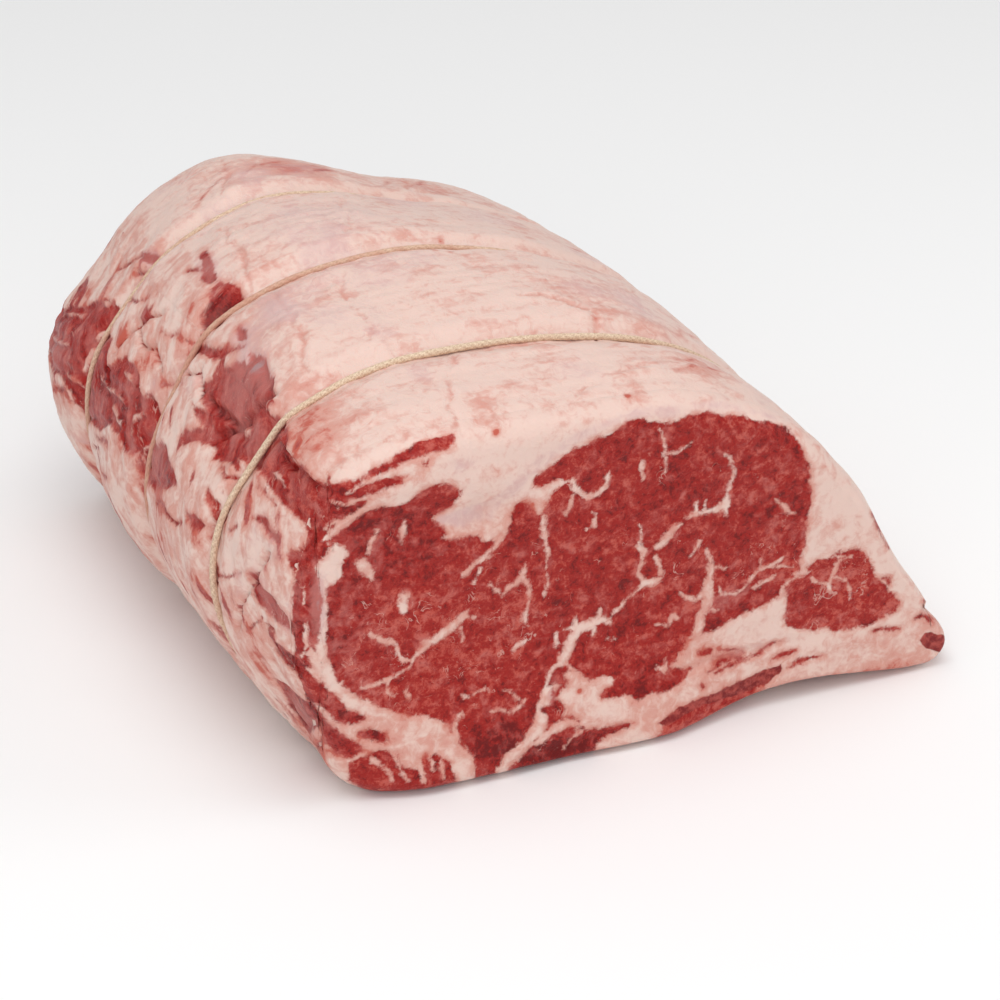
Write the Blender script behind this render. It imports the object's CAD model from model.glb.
# %% [markdown]
# # A raw beef rib roast, tied with twine
#
# A rib roast is a slice of the animal's back, four ribs long. Every slice across it has nearly the same
# outline, so the whole piece can be described by one outline that is carried from the cut face to the
# far end and changed a little on the way. This lesson starts from the plain solids that were packed
# before, and dresses them: the marbled cut face, the chine side with its lobes of lean, the fat cap,
# the sawn ribs and the twine.

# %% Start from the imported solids
import math

import bpy
import numpy as np
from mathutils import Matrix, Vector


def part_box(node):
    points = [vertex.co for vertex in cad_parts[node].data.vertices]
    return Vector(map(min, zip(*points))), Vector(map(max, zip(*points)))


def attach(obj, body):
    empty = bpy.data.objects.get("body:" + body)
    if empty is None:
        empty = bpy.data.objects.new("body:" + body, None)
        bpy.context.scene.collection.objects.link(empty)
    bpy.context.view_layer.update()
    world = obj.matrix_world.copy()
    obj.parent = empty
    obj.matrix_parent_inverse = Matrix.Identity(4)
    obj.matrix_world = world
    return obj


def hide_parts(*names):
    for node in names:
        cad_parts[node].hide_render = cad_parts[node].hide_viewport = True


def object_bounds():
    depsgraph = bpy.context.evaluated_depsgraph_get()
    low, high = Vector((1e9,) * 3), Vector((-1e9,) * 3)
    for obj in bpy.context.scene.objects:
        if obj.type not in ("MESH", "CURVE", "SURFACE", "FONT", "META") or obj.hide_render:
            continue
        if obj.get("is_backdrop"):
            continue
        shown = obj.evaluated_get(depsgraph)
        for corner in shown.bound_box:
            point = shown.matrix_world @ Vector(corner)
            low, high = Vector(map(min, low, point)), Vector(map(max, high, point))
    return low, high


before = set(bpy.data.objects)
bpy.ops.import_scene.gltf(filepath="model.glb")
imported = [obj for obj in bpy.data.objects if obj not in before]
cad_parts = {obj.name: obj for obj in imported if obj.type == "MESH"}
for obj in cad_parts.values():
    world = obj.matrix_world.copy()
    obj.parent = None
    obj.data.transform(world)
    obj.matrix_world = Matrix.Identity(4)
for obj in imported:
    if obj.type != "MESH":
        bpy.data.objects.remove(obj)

MM = 0.001
CAD_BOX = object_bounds()
LENGTH = 238.0
TIPS_X = 218.5
SHIFT = np.array([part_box("rib_bone_1")[1].x - TIPS_X * MM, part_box("fat_cover")[0].y, 0.0])
print("nodes:", ", ".join(sorted(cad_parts)))
print("box of the solids:", [[round(float(v), 4) for v in corner] for corner in CAD_BOX])

# %% [markdown]
# ## Smooth steps and random clouds
#
# Meat has no straight lines. Two small tools give it its uneven look: a step without corners, and a
# random value that changes smoothly over space. The random value is made from numbers on the corners of
# a lattice, so it needs no table and is the same on every run.

# %% Smooth steps and clouds


def smooth(value, low=0.0, high=1.0):
    """Rises from 0 at low to 1 at high as 3t^2 - 2t^3, with t the share of the way."""
    t = np.clip((value - low) / (high - low), 0, 1)
    return t * t * (3 - 2 * t)


def hill(value, middle, reach):
    """A bell of height 1: e to the minus square of the distance from the middle over the reach."""
    return np.exp(-(((value - middle) / reach) ** 2))


def cloud(points, size, seed=0):
    """A random value from -1 to 1 that changes over the given size: lattice values joined by smooth steps."""
    cell = np.asarray(points, float) / size
    corner_of = np.floor(cell)
    share = cell - corner_of
    share = share * share * (3 - 2 * share)
    total = np.zeros(cell.shape[:-1])
    for offset in np.ndindex(*(2,) * cell.shape[-1]):
        corner = corner_of + offset
        mixed = np.sin(corner @ np.array([12.9898, 78.233, 37.719])[: cell.shape[-1]] + seed * 4.17)
        value = mixed * 43758.5453
        weight = np.prod(np.where(offset, share, 1 - share), axis=-1)
        total += weight * (value - np.floor(value))
    return 2 * total - 1


def clouds(points, size, seed=0, layers=3):
    """Several clouds added up, each half as large and half as strong as the one before."""
    total = sum(0.5**k * cloud(points, size * 0.5**k, seed + 7 * k) for k in range(layers))
    return total / (2 - 2 * 0.5**layers)


def in_space(*parts):
    """Several arrays of coordinates as one array of points."""
    return np.stack(np.broadcast_arrays(*parts), axis=-1)


print("a cloud's first values:", np.round(cloud(np.arange(9.0).reshape(3, 3), 2.5), 2))

# %% [markdown]
# ## The outline of a slice
#
# Seen from the cut face, X runs from the chine side to the rib tips and Z is up. The outline is a
# closed line of Bezier curves through ten points. A point on it is named by its place: 0 at the flap,
# where the fat cap begins, up to 1 over the cap to the rim, and down to -1 by way of the heel, the flat
# underside and the rib tips. Lengths are in millimetres until a mesh is made.

# %% The outline
OUTLINE = (  # x, z, heading in degrees, reach of the curve before and after, place
    (208, 24, -62, 30, 5, -1.0),  # rim
    (218, 9, -90, 6, 5, -0.96),  # rib tips
    (208, 0, 180, 5, 14, -0.92),  # toe
    (158, 5, 180, 18, 18, -0.8),  # hollow under the ribs
    (104, 0, 180, 18, 30, -0.62),
    (8, 0, 180, 30, 16, -0.35),  # heel
    (-31, 60, 90, 27, 30, -0.17),  # cheek
    (-9, 118, 52, 18, 18, 0.0),  # flap
    (56, 139, 0, 32, 40, 0.25),  # crest
    (160, 98, -50, 32, 20, 0.66),  # shoulder
    (208, 24, -62, 30, 5, 1.0),  # rim again
)


def outline(place):
    """x and z at each place: between two rows, (1-t)^3 a + 3t(1-t)^2 b + 3t^2(1-t) c + t^3 d."""
    x, z = np.zeros(place.shape), np.zeros(place.shape)
    for a, b in zip(OUTLINE, OUTLINE[1:]):
        here = (place >= a[5]) & (place <= b[5])
        t = (place[here] - a[5]) / (b[5] - a[5])
        leave, arrive = math.radians(a[2]), math.radians(b[2])
        turns = ((x, 0, math.cos(leave), math.cos(arrive)), (z, 1, math.sin(leave), math.sin(arrive)))
        for out, k, first, second in turns:
            curve = (1 - t) ** 3 * a[k] + 3 * (1 - t) ** 2 * t * (a[k] + a[4] * first)
            out[here] = curve + 3 * (1 - t) * t * t * (b[k] - b[3] * second) + t**3 * b[k]
    return x, z


def slice_at(x, z, y):
    """Moves points of the middle slice to the slice at y: lower away from the crest, drawn in at the chine."""
    off = np.maximum(130 - y, 0) / 85 + np.maximum(y - 130, 0) / 115
    drop = 8 * off**1.6 * hill(x, 56, 70) * z / 139
    drop = drop + 13 * smooth(y, 90, 240) * smooth(x, 30, 100) * z / 139
    drop = drop + 11 * smooth(y, 140, 235) * smooth(50 - x, 0, 70) * smooth(z, 60, 115)
    drop = drop + smooth(y, 150, 230) * 4 * smooth(x, 60, 110) * z / 139
    left = smooth(20 - x, 0, 50) * smooth(128 - z, 0, 30) * smooth(z, 0, 30)
    aside = 15 * np.exp(-y / 20) * left + 6 * smooth(y, 160, 230) * smooth(60 - x, 0, 90) * (0.3 + 0.7 * smooth(z, 70, 125))
    aside = aside + 4.5 * np.exp(-y / 50) * hill(z, 78, 28) * smooth(x, 120, 160)
    closing = 0.05 * (1 - np.sqrt(1 - np.clip((y - LENGTH + 24) / 24, 0, 1) ** 2))
    x, z = x + aside, z - drop
    return x + (85 - x) * closing, z * (1 - closing)


places = np.linspace(-1, 1, 9)
print("outline:", [tuple(round(float(v)) for v in row) for row in zip(*outline(places))])

# %% [markdown]
# ## The skin of the roast
#
# The skin is the slice's outline moved outward or inward along its own normal. Lumps and hollows are
# bells, the twine bites a groove, and the fat cap stands proud of the lean at the flap. The three turns
# of twine wander a little as they go round, so each is a line of y over place.

# %% The skin
LUMPS = (  # y, place, height, reach along y, spread of place
    (72, -0.05, -5.0, 16, 0.045),
    (62, -0.15, 3.0, 14, 0.06),
    (88, -0.16, 3.0, 14, 0.06),
    (20, -0.22, -3.0, 12, 0.08),
    (128, -0.08, -3.5, 13, 0.05),
    (146, -0.20, 4.0, 20, 0.07),
    (205, -0.16, 4.0, 18, 0.08),
    (76, 0.10, 3.0, 18, 0.07),
    (20, 0.16, 2.5, 14, 0.10),
    (142, 0.22, 2.0, 22, 0.12),
    (205, 0.30, 2.0, 22, 0.15),
    (78, 0.45, 2.0, 24, 0.14),
    (22, 0.55, 2.0, 14, 0.12),
)
TURN_PLACES = (-1.0, -0.35, -0.1, 0.0, 0.05, 0.1, 0.2, 0.3, 0.4, 0.5, 0.6, 1.0)
TURNS = (  # y of each turn of twine at those places
    (52, 54, 52.5, 48.5, 46.5, 47.5, 51, 50.5, 48.7, 49, 52, 52),
    (118, 122, 121, 119.5, 117, 115.5, 116, 118, 117, 114.5, 116, 117),
    (183, 186, 184.5, 182, 181, 180.8, 181.5, 184, 183, 180.5, 181, 182),
)


def turn_y(turn, place):
    """Where along the roast this turn of twine lies, at each place round it."""
    return np.interp(place, TURN_PLACES, TURNS[turn])


def bite(place, y):
    """Depth of the twine's grooves: 3.4 mm under the twine, gone 11 mm away from it."""
    apart = np.min([np.abs(y - turn_y(turn, place)) for turn in range(3)], axis=0)
    return 3.4 * (1 - smooth(apart, 1.0, 11.0)) ** 1.5


def swell(place, y):
    """Height of the lumps and hollows: a sum of bells."""
    return sum(h * hill(y, at, reach) * hill(place, p, wide) for at, p, h, reach, wide in LUMPS)


def lip(place, y):
    """How far the fat cap stands proud of the lean below it, at the flap and at the rim."""
    flap = (0.1 + 3.0 * (1 - smooth(y, 34, 56))) * smooth(y, 7, 16) * smooth(LENGTH - y, 7, 18)
    cap = place >= 0
    return cap * (flap * (1 - smooth(place, 0, 0.10)) + 2 * smooth(place, 0.9, 1.0))


def skin(place, y, out=0.0):
    """x, z of the skin and its outward normal in the slice, moved outward by out."""
    place, y = np.broadcast_arrays(np.asarray(place, float), np.asarray(y, float))
    x, z = slice_at(*outline(place), y)
    ahead = slice_at(*outline(np.minimum(place + 0.001, 1)), y)
    behind = slice_at(*outline(np.maximum(place - 0.001, -1)), y)
    along_x, along_z = ahead[0] - behind[0], ahead[1] - behind[1]
    size = np.hypot(along_x, along_z)
    normal_x, normal_z = -along_z / size, along_x / size
    moved = swell(place, y) - bite(place, y) + lip(place, y) + out
    x, z = x + normal_x * moved, z + normal_z * moved
    return x, np.maximum(z, 0.2), normal_x, normal_z


def leaned(x, y, z):
    """The lower half of the cut face leans 7 mm forward, and this fades over the next 14 mm of length."""
    across = smooth(x, -5, 25) * smooth(150 - x, 0, 50)
    return y - 7 * np.exp(-((np.maximum(y, 0) / 14) ** 2)) * smooth(52 - z, 0, 52) * across


def even_places(start, stop, step, y=100.0):
    """Places from start to stop that are about step millimetres apart along the skin."""
    fine = np.linspace(start, stop, 1201)
    x, z, _, _ = skin(fine, y)
    run = np.concatenate([[0], np.cumsum(np.hypot(np.diff(x), np.diff(z)))])
    return np.interp(np.linspace(0, run[-1], max(2, round(run[-1] / step) + 1)), run, fine)


print("round the middle slice:", len(even_places(-1, 1, 1.0)), "mm")

# %% [markdown]
# ## Meshes from grids
#
# Each surface is a grid of points, so its faces can be counted out as whole arrays too. A piece gets
# its points in metres in the part's own frame, and one number at each point for every pattern that its
# material needs: how deep the point lies in lean, how red it is, and so on.

# %% Meshes from grids


def grid_faces(rows, columns, wrap=False, start=0):
    """Four-cornered faces of a grid of rows by columns; with wrap the last column joins the first."""
    index = start + np.arange(rows * columns).reshape(rows, columns)
    if wrap:
        index = np.hstack([index, index[:, :1]])
    corners = (index[:-1, :-1], index[:-1, 1:], index[1:, 1:], index[1:, :-1])
    return np.stack(corners, axis=-1).reshape(-1, 4)


def fan_faces(ring, middle):
    """Triangles that close a ring of points with one point in its middle."""
    return np.column_stack([ring, np.roll(ring, -1), np.full(len(ring), middle)])


def add_piece(name, points, face_lists, finish, nodes=(), patterns=None):
    """A smooth mesh piece from points in millimetres; it rides on root and stands for the given nodes."""
    mesh = bpy.data.meshes.new(name)
    places = np.asarray(points, float).reshape(-1, 3) * MM + SHIFT
    sizes = np.concatenate([np.full(len(faces), faces.shape[1]) for faces in face_lists])
    corners = np.concatenate([faces.ravel() for faces in face_lists])
    mesh.vertices.add(len(places))
    mesh.vertices.foreach_set("co", places.ravel())
    mesh.loops.add(len(corners))
    mesh.loops.foreach_set("vertex_index", corners.astype(np.int32))
    mesh.polygons.add(len(sizes))
    starts = np.concatenate([[0], np.cumsum(sizes)[:-1]])
    mesh.polygons.foreach_set("loop_start", starts.astype(np.int32))
    mesh.update(calc_edges=True)
    mesh.validate()
    for pattern, values in (patterns or {}).items():
        vector = np.ndim(values) > 1 and np.shape(values)[-1] == 3
        layer = mesh.attributes.new(pattern, "FLOAT_VECTOR" if vector else "FLOAT", "POINT")
        layer.data.foreach_set("vector" if vector else "value", np.asarray(values, np.float32).ravel())
    mesh.shade_smooth()
    mesh.materials.append(finish)
    piece = bpy.data.objects.new(name, mesh)
    bpy.context.scene.collection.objects.link(piece)
    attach(piece, "root")
    if nodes:
        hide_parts(*nodes)
    print(f"{name}: {len(places)} points, {int((sizes - 2).sum())} triangles")
    return piece


# %% [markdown]
# ## Depth in a drawn shape
#
# The pattern of lean and fat is drawn with two kinds of line: closed ones round a muscle, and open ones
# along a seam of fat, with a half width at each point. For every point of the mesh the depth inside the
# shape is worked out in millimetres. A depth can be mixed, widened or roughened, and its zero line stays
# sharp even where the mesh is coarser than the seam.

# %% Depth in a drawn shape


def to_line(points, a, b):
    """Distance from each point to the stretch from a to b, and the share of the way along it."""
    ahead = np.subtract(b[:2], a[:2])
    share = np.clip((points - a[:2]) @ ahead / max(float(ahead @ ahead), 1e-9), 0, 1)
    return np.linalg.norm(points - a[:2] - share[..., None] * ahead, axis=-1), share


def depth_in_shape(points, corners):
    """Positive inside the closed line, negative outside: distance to the nearest side, in millimetres."""
    corners = np.asarray(corners, float)
    depth = np.full(points.shape[:-1], -9.0)
    low, high = corners.min(axis=0) - 6, corners.max(axis=0) + 6
    near = np.all((points > low) & (points < high), axis=-1)
    inner = points[near]
    nearest, inside = np.full(len(inner), 1e9), np.zeros(len(inner), bool)
    for a, b in zip(corners, np.roll(corners, -1, axis=0)):
        nearest = np.minimum(nearest, to_line(inner, a, b)[0])
        spans = (a[1] > inner[:, 1]) != (b[1] > inner[:, 1])
        crossing = a[0] + (inner[:, 1] - a[1]) * (b[0] - a[0]) / (b[1] - a[1] + 1e-12)
        inside ^= spans & (inner[:, 0] < crossing)
    depth[near] = np.where(inside, nearest, -nearest)
    return depth


def depth_in_vein(points, line):
    """Half width minus distance, for an open line of rows x, z, half width."""
    line = np.asarray(line, float)
    depth = np.full(points.shape[:-1], -9.0)
    low, high = line[:, :2].min(axis=0) - 6, line[:, :2].max(axis=0) + 6
    near = np.all((points > low) & (points < high), axis=-1)
    inner, found = points[near], np.full(int(near.sum()), -9.0)
    for a, b in zip(line, line[1:]):
        apart, share = to_line(inner, a, b)
        found = np.maximum(found, a[2] + share * (b[2] - a[2]) - apart)
    depth[near] = found
    return depth


def spots_at(points, spots):
    """Sum of soft oval spots: rows x, z, reach in x, reach in z, strength."""
    total = np.zeros(points.shape[:-1])
    for x, z, wide, high, strength in spots:
        total += strength * hill(points[..., 0], x, wide) * hill(points[..., 1], z, high)
    return total


print("depth at the middle of a 10 mm square:", depth_in_shape(np.array([[5.0, 5.0]]), [(0, 0), (10, 0), (10, 10), (0, 10)]))

# %% [markdown]
# ## Shader tools
#
# Materials are trees of nodes. Two short helpers keep them readable: one adds a node and plugs in its
# inputs, and one makes a smooth step from one value to another. Lean and fat are each a node group,
# because the cut face, the chine side and the fat cap all show both.

# %% Shader tools


def node(tree, kind, settings=None, **inputs):
    """Adds a shader node. An input is a number, a colour or another node's output."""
    made = tree.nodes.new("ShaderNode" + kind)
    for name, value in (settings or {}).items():
        setattr(made, name, value)
    for name, value in inputs.items():
        key = int(name[1:]) if name[1:].isdigit() else name.replace("_", " ")
        if isinstance(value, bpy.types.NodeSocket):
            tree.links.new(value, made.inputs[key])
        else:
            made.inputs[key].default_value = value
    return made


def maths(tree, operation, a, b=0.0, c=0.0):
    made = node(tree, "Math", {"operation": operation}, i0=a, i1=b, i2=c)
    return made.outputs[0]


def step(tree, value, low, high):
    """0 below low, 1 above high, a smooth step between."""
    settings = {"interpolation_type": "SMOOTHSTEP"}
    made = node(tree, "MapRange", settings, Value=value, From_Min=low, From_Max=high)
    return made.outputs["Result"]


def mixed(tree, share, a, b):
    """The colour a share of the way from a to b."""
    made = node(tree, "Mix", {"data_type": "RGBA"}, i0=share, i6=a, i7=b)
    return made.outputs[2]


def noise(tree, vector, size, detail=2.0, roughness=0.5, distortion=0.0):
    """Noise whose patches are about this many millimetres across."""
    inputs = {"Vector": vector, "Scale": 1000 / size, "Detail": detail, "Roughness": roughness}
    return node(tree, "TexNoise", None, Distortion=distortion, **inputs).outputs["Fac"]


def stretched(tree, vector, x, y, z):
    """The coordinates multiplied by x, y and z, so that a pattern is long where its factor is small."""
    return node(tree, "VectorMath", {"operation": "MULTIPLY"}, i0=vector, i1=(x, y, z)).outputs[0]


def new_group(name, inputs, outputs):
    """An empty node group with named inputs and outputs: the tree, its inputs and the node of its outputs."""
    tree = bpy.data.node_groups.new(name, "ShaderNodeTree")
    for title, kind in inputs.items():
        tree.interface.new_socket(title, in_out="INPUT", socket_type=kind)
    for title, kind in outputs.items():
        tree.interface.new_socket(title, in_out="OUTPUT", socket_type=kind)
    return tree, tree.nodes.new("NodeGroupInput").outputs, tree.nodes.new("NodeGroupOutput")


FLOAT, VECTOR, COLOUR = "NodeSocketFloat", "NodeSocketVector", "NodeSocketColor"

# %% [markdown]
# ## Lean and fat
#
# Raw lean is a bundle of fibres, so its cut end is finely mottled: darker where it is dense and wet,
# pinker where thin fat runs between the fibres. Cool beef fat is cream with pink and lavender patches,
# where a thin membrane lies over it, and it has faint creases. Tone, blush and film are numbers that
# each piece carries at its points.

# %% The lean group


def lean_group():
    """Colour, roughness and height of raw lean. Tone -1 is dark and +1 is bright red."""
    inputs = {"Vector": VECTOR, "Tone": FLOAT, "Film": FLOAT, "Streak": FLOAT}
    tree, given, out = new_group("raw lean", inputs, {"Color": COLOUR, "Roughness": FLOAT, "Height": FLOAT})
    place = given["Vector"]
    broad = noise(tree, place, 17, 2)
    mottle = noise(tree, place, 2.6, 5, 0.68, 0.6)
    grain = noise(tree, place, 0.8, 3, 0.65)
    level = maths(tree, "MULTIPLY_ADD", broad, 0.7, 0.15)
    level = maths(tree, "MULTIPLY_ADD", given["Tone"], 0.30, level)
    level = maths(tree, "ADD", level, maths(tree, "MULTIPLY_ADD", mottle, 2.4, -1.2))
    level = maths(tree, "ADD", level, maths(tree, "MULTIPLY_ADD", grain, 1.0, -0.5))
    level = maths(tree, "ADD", level, maths(tree, "MULTIPLY_ADD", given["Streak"], 1.8, -0.9))
    dark = mixed(tree, step(tree, level, -0.15, 0.5), (0.15, 0.003, 0.003, 1), (0.34, 0.013, 0.009, 1))
    red = mixed(tree, step(tree, level, 0.5, 1.15), dark, (0.52, 0.085, 0.060, 1))
    film = maths(tree, "ADD", given["Film"], maths(tree, "MULTIPLY_ADD", given["Streak"], 2.4, -1.2))
    dull = mixed(tree, maths(tree, "MULTIPLY", step(tree, film, -0.1, 1.0), 0.75), red, (0.50, 0.17, 0.15, 1))
    gristle = mixed(tree, step(tree, film, 1.25, 1.9), dull, (0.40, 0.24, 0.24, 1))
    tree.links.new(gristle, out.inputs["Color"])
    tree.links.new(maths(tree, "MULTIPLY_ADD", mottle, 0.3, 0.22), out.inputs["Roughness"])
    height = maths(tree, "MULTIPLY_ADD", grain, 0.8, mottle)
    tree.links.new(height, out.inputs["Height"])
    return tree


LEAN = lean_group()

# %% The fat group


def fat_group():
    """Colour, roughness and height of raw fat. Blush makes it pink, film lays a lavender membrane on it."""
    inputs = {"Vector": VECTOR, "Blush": FLOAT, "Film": FLOAT, "Streak": FLOAT}
    tree, given, out = new_group("raw fat", inputs, {"Color": COLOUR, "Roughness": FLOAT, "Height": FLOAT})
    place = given["Vector"]
    broad = noise(tree, place, 20, 3, 0.6, 0.3)
    small = noise(tree, place, 4, 5, 0.65, 0.8)
    fine = noise(tree, place, 1.0, 3, 0.6)
    cream, pink = (0.77, 0.56, 0.49, 1), (0.66, 0.33, 0.27, 1)
    blush = maths(tree, "MULTIPLY_ADD", broad, 2.0, -0.85)
    blush = maths(tree, "ADD", blush, maths(tree, "MULTIPLY_ADD", small, 2.0, -1.0))
    blush = maths(tree, "ADD", blush, maths(tree, "MULTIPLY_ADD", given["Streak"], 2.8, -1.4))
    blush = maths(tree, "ADD", blush, given["Blush"])
    colour = mixed(tree, step(tree, blush, 0.0, 1.0), cream, pink)
    deep = step(tree, blush, 0.95, 1.7)
    colour = mixed(tree, deep, colour, (0.52, 0.11, 0.075, 1))
    film = maths(tree, "ADD", given["Film"], maths(tree, "MULTIPLY_ADD", small, 1.6, -0.95))
    colour = mixed(tree, maths(tree, "MULTIPLY", step(tree, film, 0.0, 1.0), 0.8), colour, (0.66, 0.44, 0.42, 1))
    tree.links.new(colour, out.inputs["Color"])
    tree.links.new(maths(tree, "MULTIPLY_ADD", small, 0.4, 0.22), out.inputs["Roughness"])
    tree.links.new(maths(tree, "MULTIPLY_ADD", fine, 0.3, small), out.inputs["Height"])
    return tree


FAT = fat_group()

# %% [markdown]
# ## One recipe for all beef surfaces
#
# Every beef surface mixes the two groups by how deep its point lies in lean. The recipe roughens that
# depth a little, so an edge frays, and scatters fine flecks of fat over the lean: thin broken webs, as
# marbling is. Only the size and amount of the flecks and the direction of the fibres differ.

# %% The beef recipe


def beef(name, flecks, fleck_size, streaks):
    """A finish that reads its pattern from the mesh: lean, tone, blush, film, marrow, fleck, side, flow."""
    finish = bpy.data.materials.new(name)
    finish.use_nodes = True
    tree = finish.node_tree
    shader = tree.nodes["Principled BSDF"]
    titles = ("lean", "tone", "blush", "film", "marrow", "fleck", "side")
    value = {title: node(tree, "Attribute", {"attribute_name": title}).outputs["Fac"] for title in titles}
    flow = node(tree, "Attribute", {"attribute_name": "flow"}).outputs["Vector"]
    place = node(tree, "TexCoord").outputs["Object"]

    def streaky(size, *settings):
        """Noise in space near the ends, noise that is long along the flow elsewhere."""
        inputs = {"i0": value["side"], "i2": noise(tree, place, size, *settings), "i3": noise(tree, flow, size, *settings)}
        return node(tree, "Mix", None, **inputs).outputs[0]

    streak = streaky(4.5, 4, 0.6, 0.4)
    fray = streaky(2.8, 5, 0.7, 0.5)
    faint = maths(tree, "MULTIPLY_ADD", streak, streaks, 0.5 - 0.5 * streaks)
    near = maths(tree, "MULTIPLY_ADD", step(tree, value["lean"], -2.6, 0.4), 0.6, value["blush"])
    lean = node(tree, "Group", {"node_tree": LEAN}, Vector=place, Tone=value["tone"], Film=value["film"], Streak=streak)
    fat = node(tree, "Group", {"node_tree": FAT}, Vector=place, Blush=near, Film=value["film"], Streak=faint)
    # the frayed edge between them
    depth = maths(tree, "ADD", value["lean"], maths(tree, "MULTIPLY_ADD", fray, 4.4, -2.2))
    share = step(tree, depth, -0.6, 0.8)
    # marbling: the lines where a cloud passes one half, broken up by another cloud
    bent = streaky(fleck_size, 3, 0.55, 1.0)
    off = maths(tree, "ABSOLUTE", maths(tree, "SUBTRACT", bent, 0.5))
    where = noise(tree, place, 1.2 * fleck_size, 2, 0.5)
    where = maths(tree, "ADD", where, maths(tree, "MULTIPLY_ADD", value["fleck"], 0.12, -0.12))
    width = maths(tree, "MULTIPLY", step(tree, where, 0.60 - 0.2 * flecks, 0.68), 0.030)
    thin = maths(tree, "DIVIDE", off, maths(tree, "ADD", width, 0.00001))
    line = maths(tree, "SUBTRACT", 1.0, step(tree, thin, 0.2, 1.0))
    dots = maths(tree, "ADD", noise(tree, place, 2.0, 3, 0.6, 0.8), maths(tree, "MULTIPLY", value["fleck"], 0.05))
    fleck = maths(tree, "MAXIMUM", line, maths(tree, "MULTIPLY", step(tree, dots, 0.68, 0.80), 0.8))
    share = maths(tree, "MULTIPLY", share, maths(tree, "MULTIPLY_ADD", fleck, -0.5, 1.0))
    colour = mixed(tree, share, fat.outputs["Color"], lean.outputs["Color"])
    # spongy marrow
    sponge = noise(tree, place, 2.2, 3, 0.6)
    spongy = mixed(tree, step(tree, sponge, 0.36, 0.70), (0.20, 0.012, 0.012, 1), (0.42, 0.07, 0.055, 1))
    marrow = step(tree, maths(tree, "ADD", value["marrow"], maths(tree, "MULTIPLY_ADD", fray, 1.6, -0.8)), -0.3, 0.3)
    colour = mixed(tree, marrow, colour, spongy)
    tree.links.new(colour, shader.inputs["Base Color"])
    rough = node(tree, "Mix", None, i0=share, i2=fat.outputs["Roughness"], i3=lean.outputs["Roughness"])
    tree.links.new(rough.outputs[0], shader.inputs["Roughness"])
    high = node(tree, "Mix", None, i0=share, i2=fat.outputs["Height"], i3=lean.outputs["Height"])
    raised = maths(tree, "MULTIPLY_ADD", share, -0.35, high.outputs[0])
    bump = node(tree, "Bump", None, Strength=0.45, Distance=0.0009, Height=raised)
    tree.links.new(bump.outputs[0], shader.inputs["Normal"])
    shader.inputs["Subsurface Weight"].default_value = 0.08
    shader.inputs["Subsurface Radius"].default_value = (1.0, 0.35, 0.25)
    shader.inputs["Subsurface Scale"].default_value = 0.002
    shader.inputs["Specular IOR Level"].default_value = 0.24
    return finish


CUT_BEEF = beef("cut beef", 0.55, 7.0, 0.6)
SIDE_BEEF = beef("trimmed beef", 0.7, 6.0, 1.0)
CAP_BEEF = beef("fat cap", 0.4, 7.0, 0.6)
print("beef finishes:", CUT_BEEF.name, SIDE_BEEF.name, CAP_BEEF.name)

# %% [markdown]
# ## The pattern on the skin
#
# Unrolled, the skin is a sheet: along the roast one way, down from the flap the other. The chine side
# was trimmed off the backbone, so lobes of lean lie open between ragged fat, with clefts where the knife
# went round the bone. Shapes are drawn on that sheet in millimetres. The part that rests on the board
# and the rib side are left to clouds and to the line of the ribs.

# %% The unrolled sheet
FINE_PLACES = np.linspace(-1, 1, 2001)
FINE_X, FINE_Z, _, _ = skin(FINE_PLACES, 100.0)
FINE_RUN = np.concatenate([[0], np.cumsum(np.hypot(np.diff(FINE_X), np.diff(FINE_Z)))])
FINE_DOWN = FINE_RUN[1000] - FINE_RUN
RIB_PLACES = (0, 68, 131, 194)


def down_from_flap(place):
    """Millimetres down the chine side from the flap, negative on the fat cap."""
    return np.interp(place, FINE_PLACES, FINE_DOWN)


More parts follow.
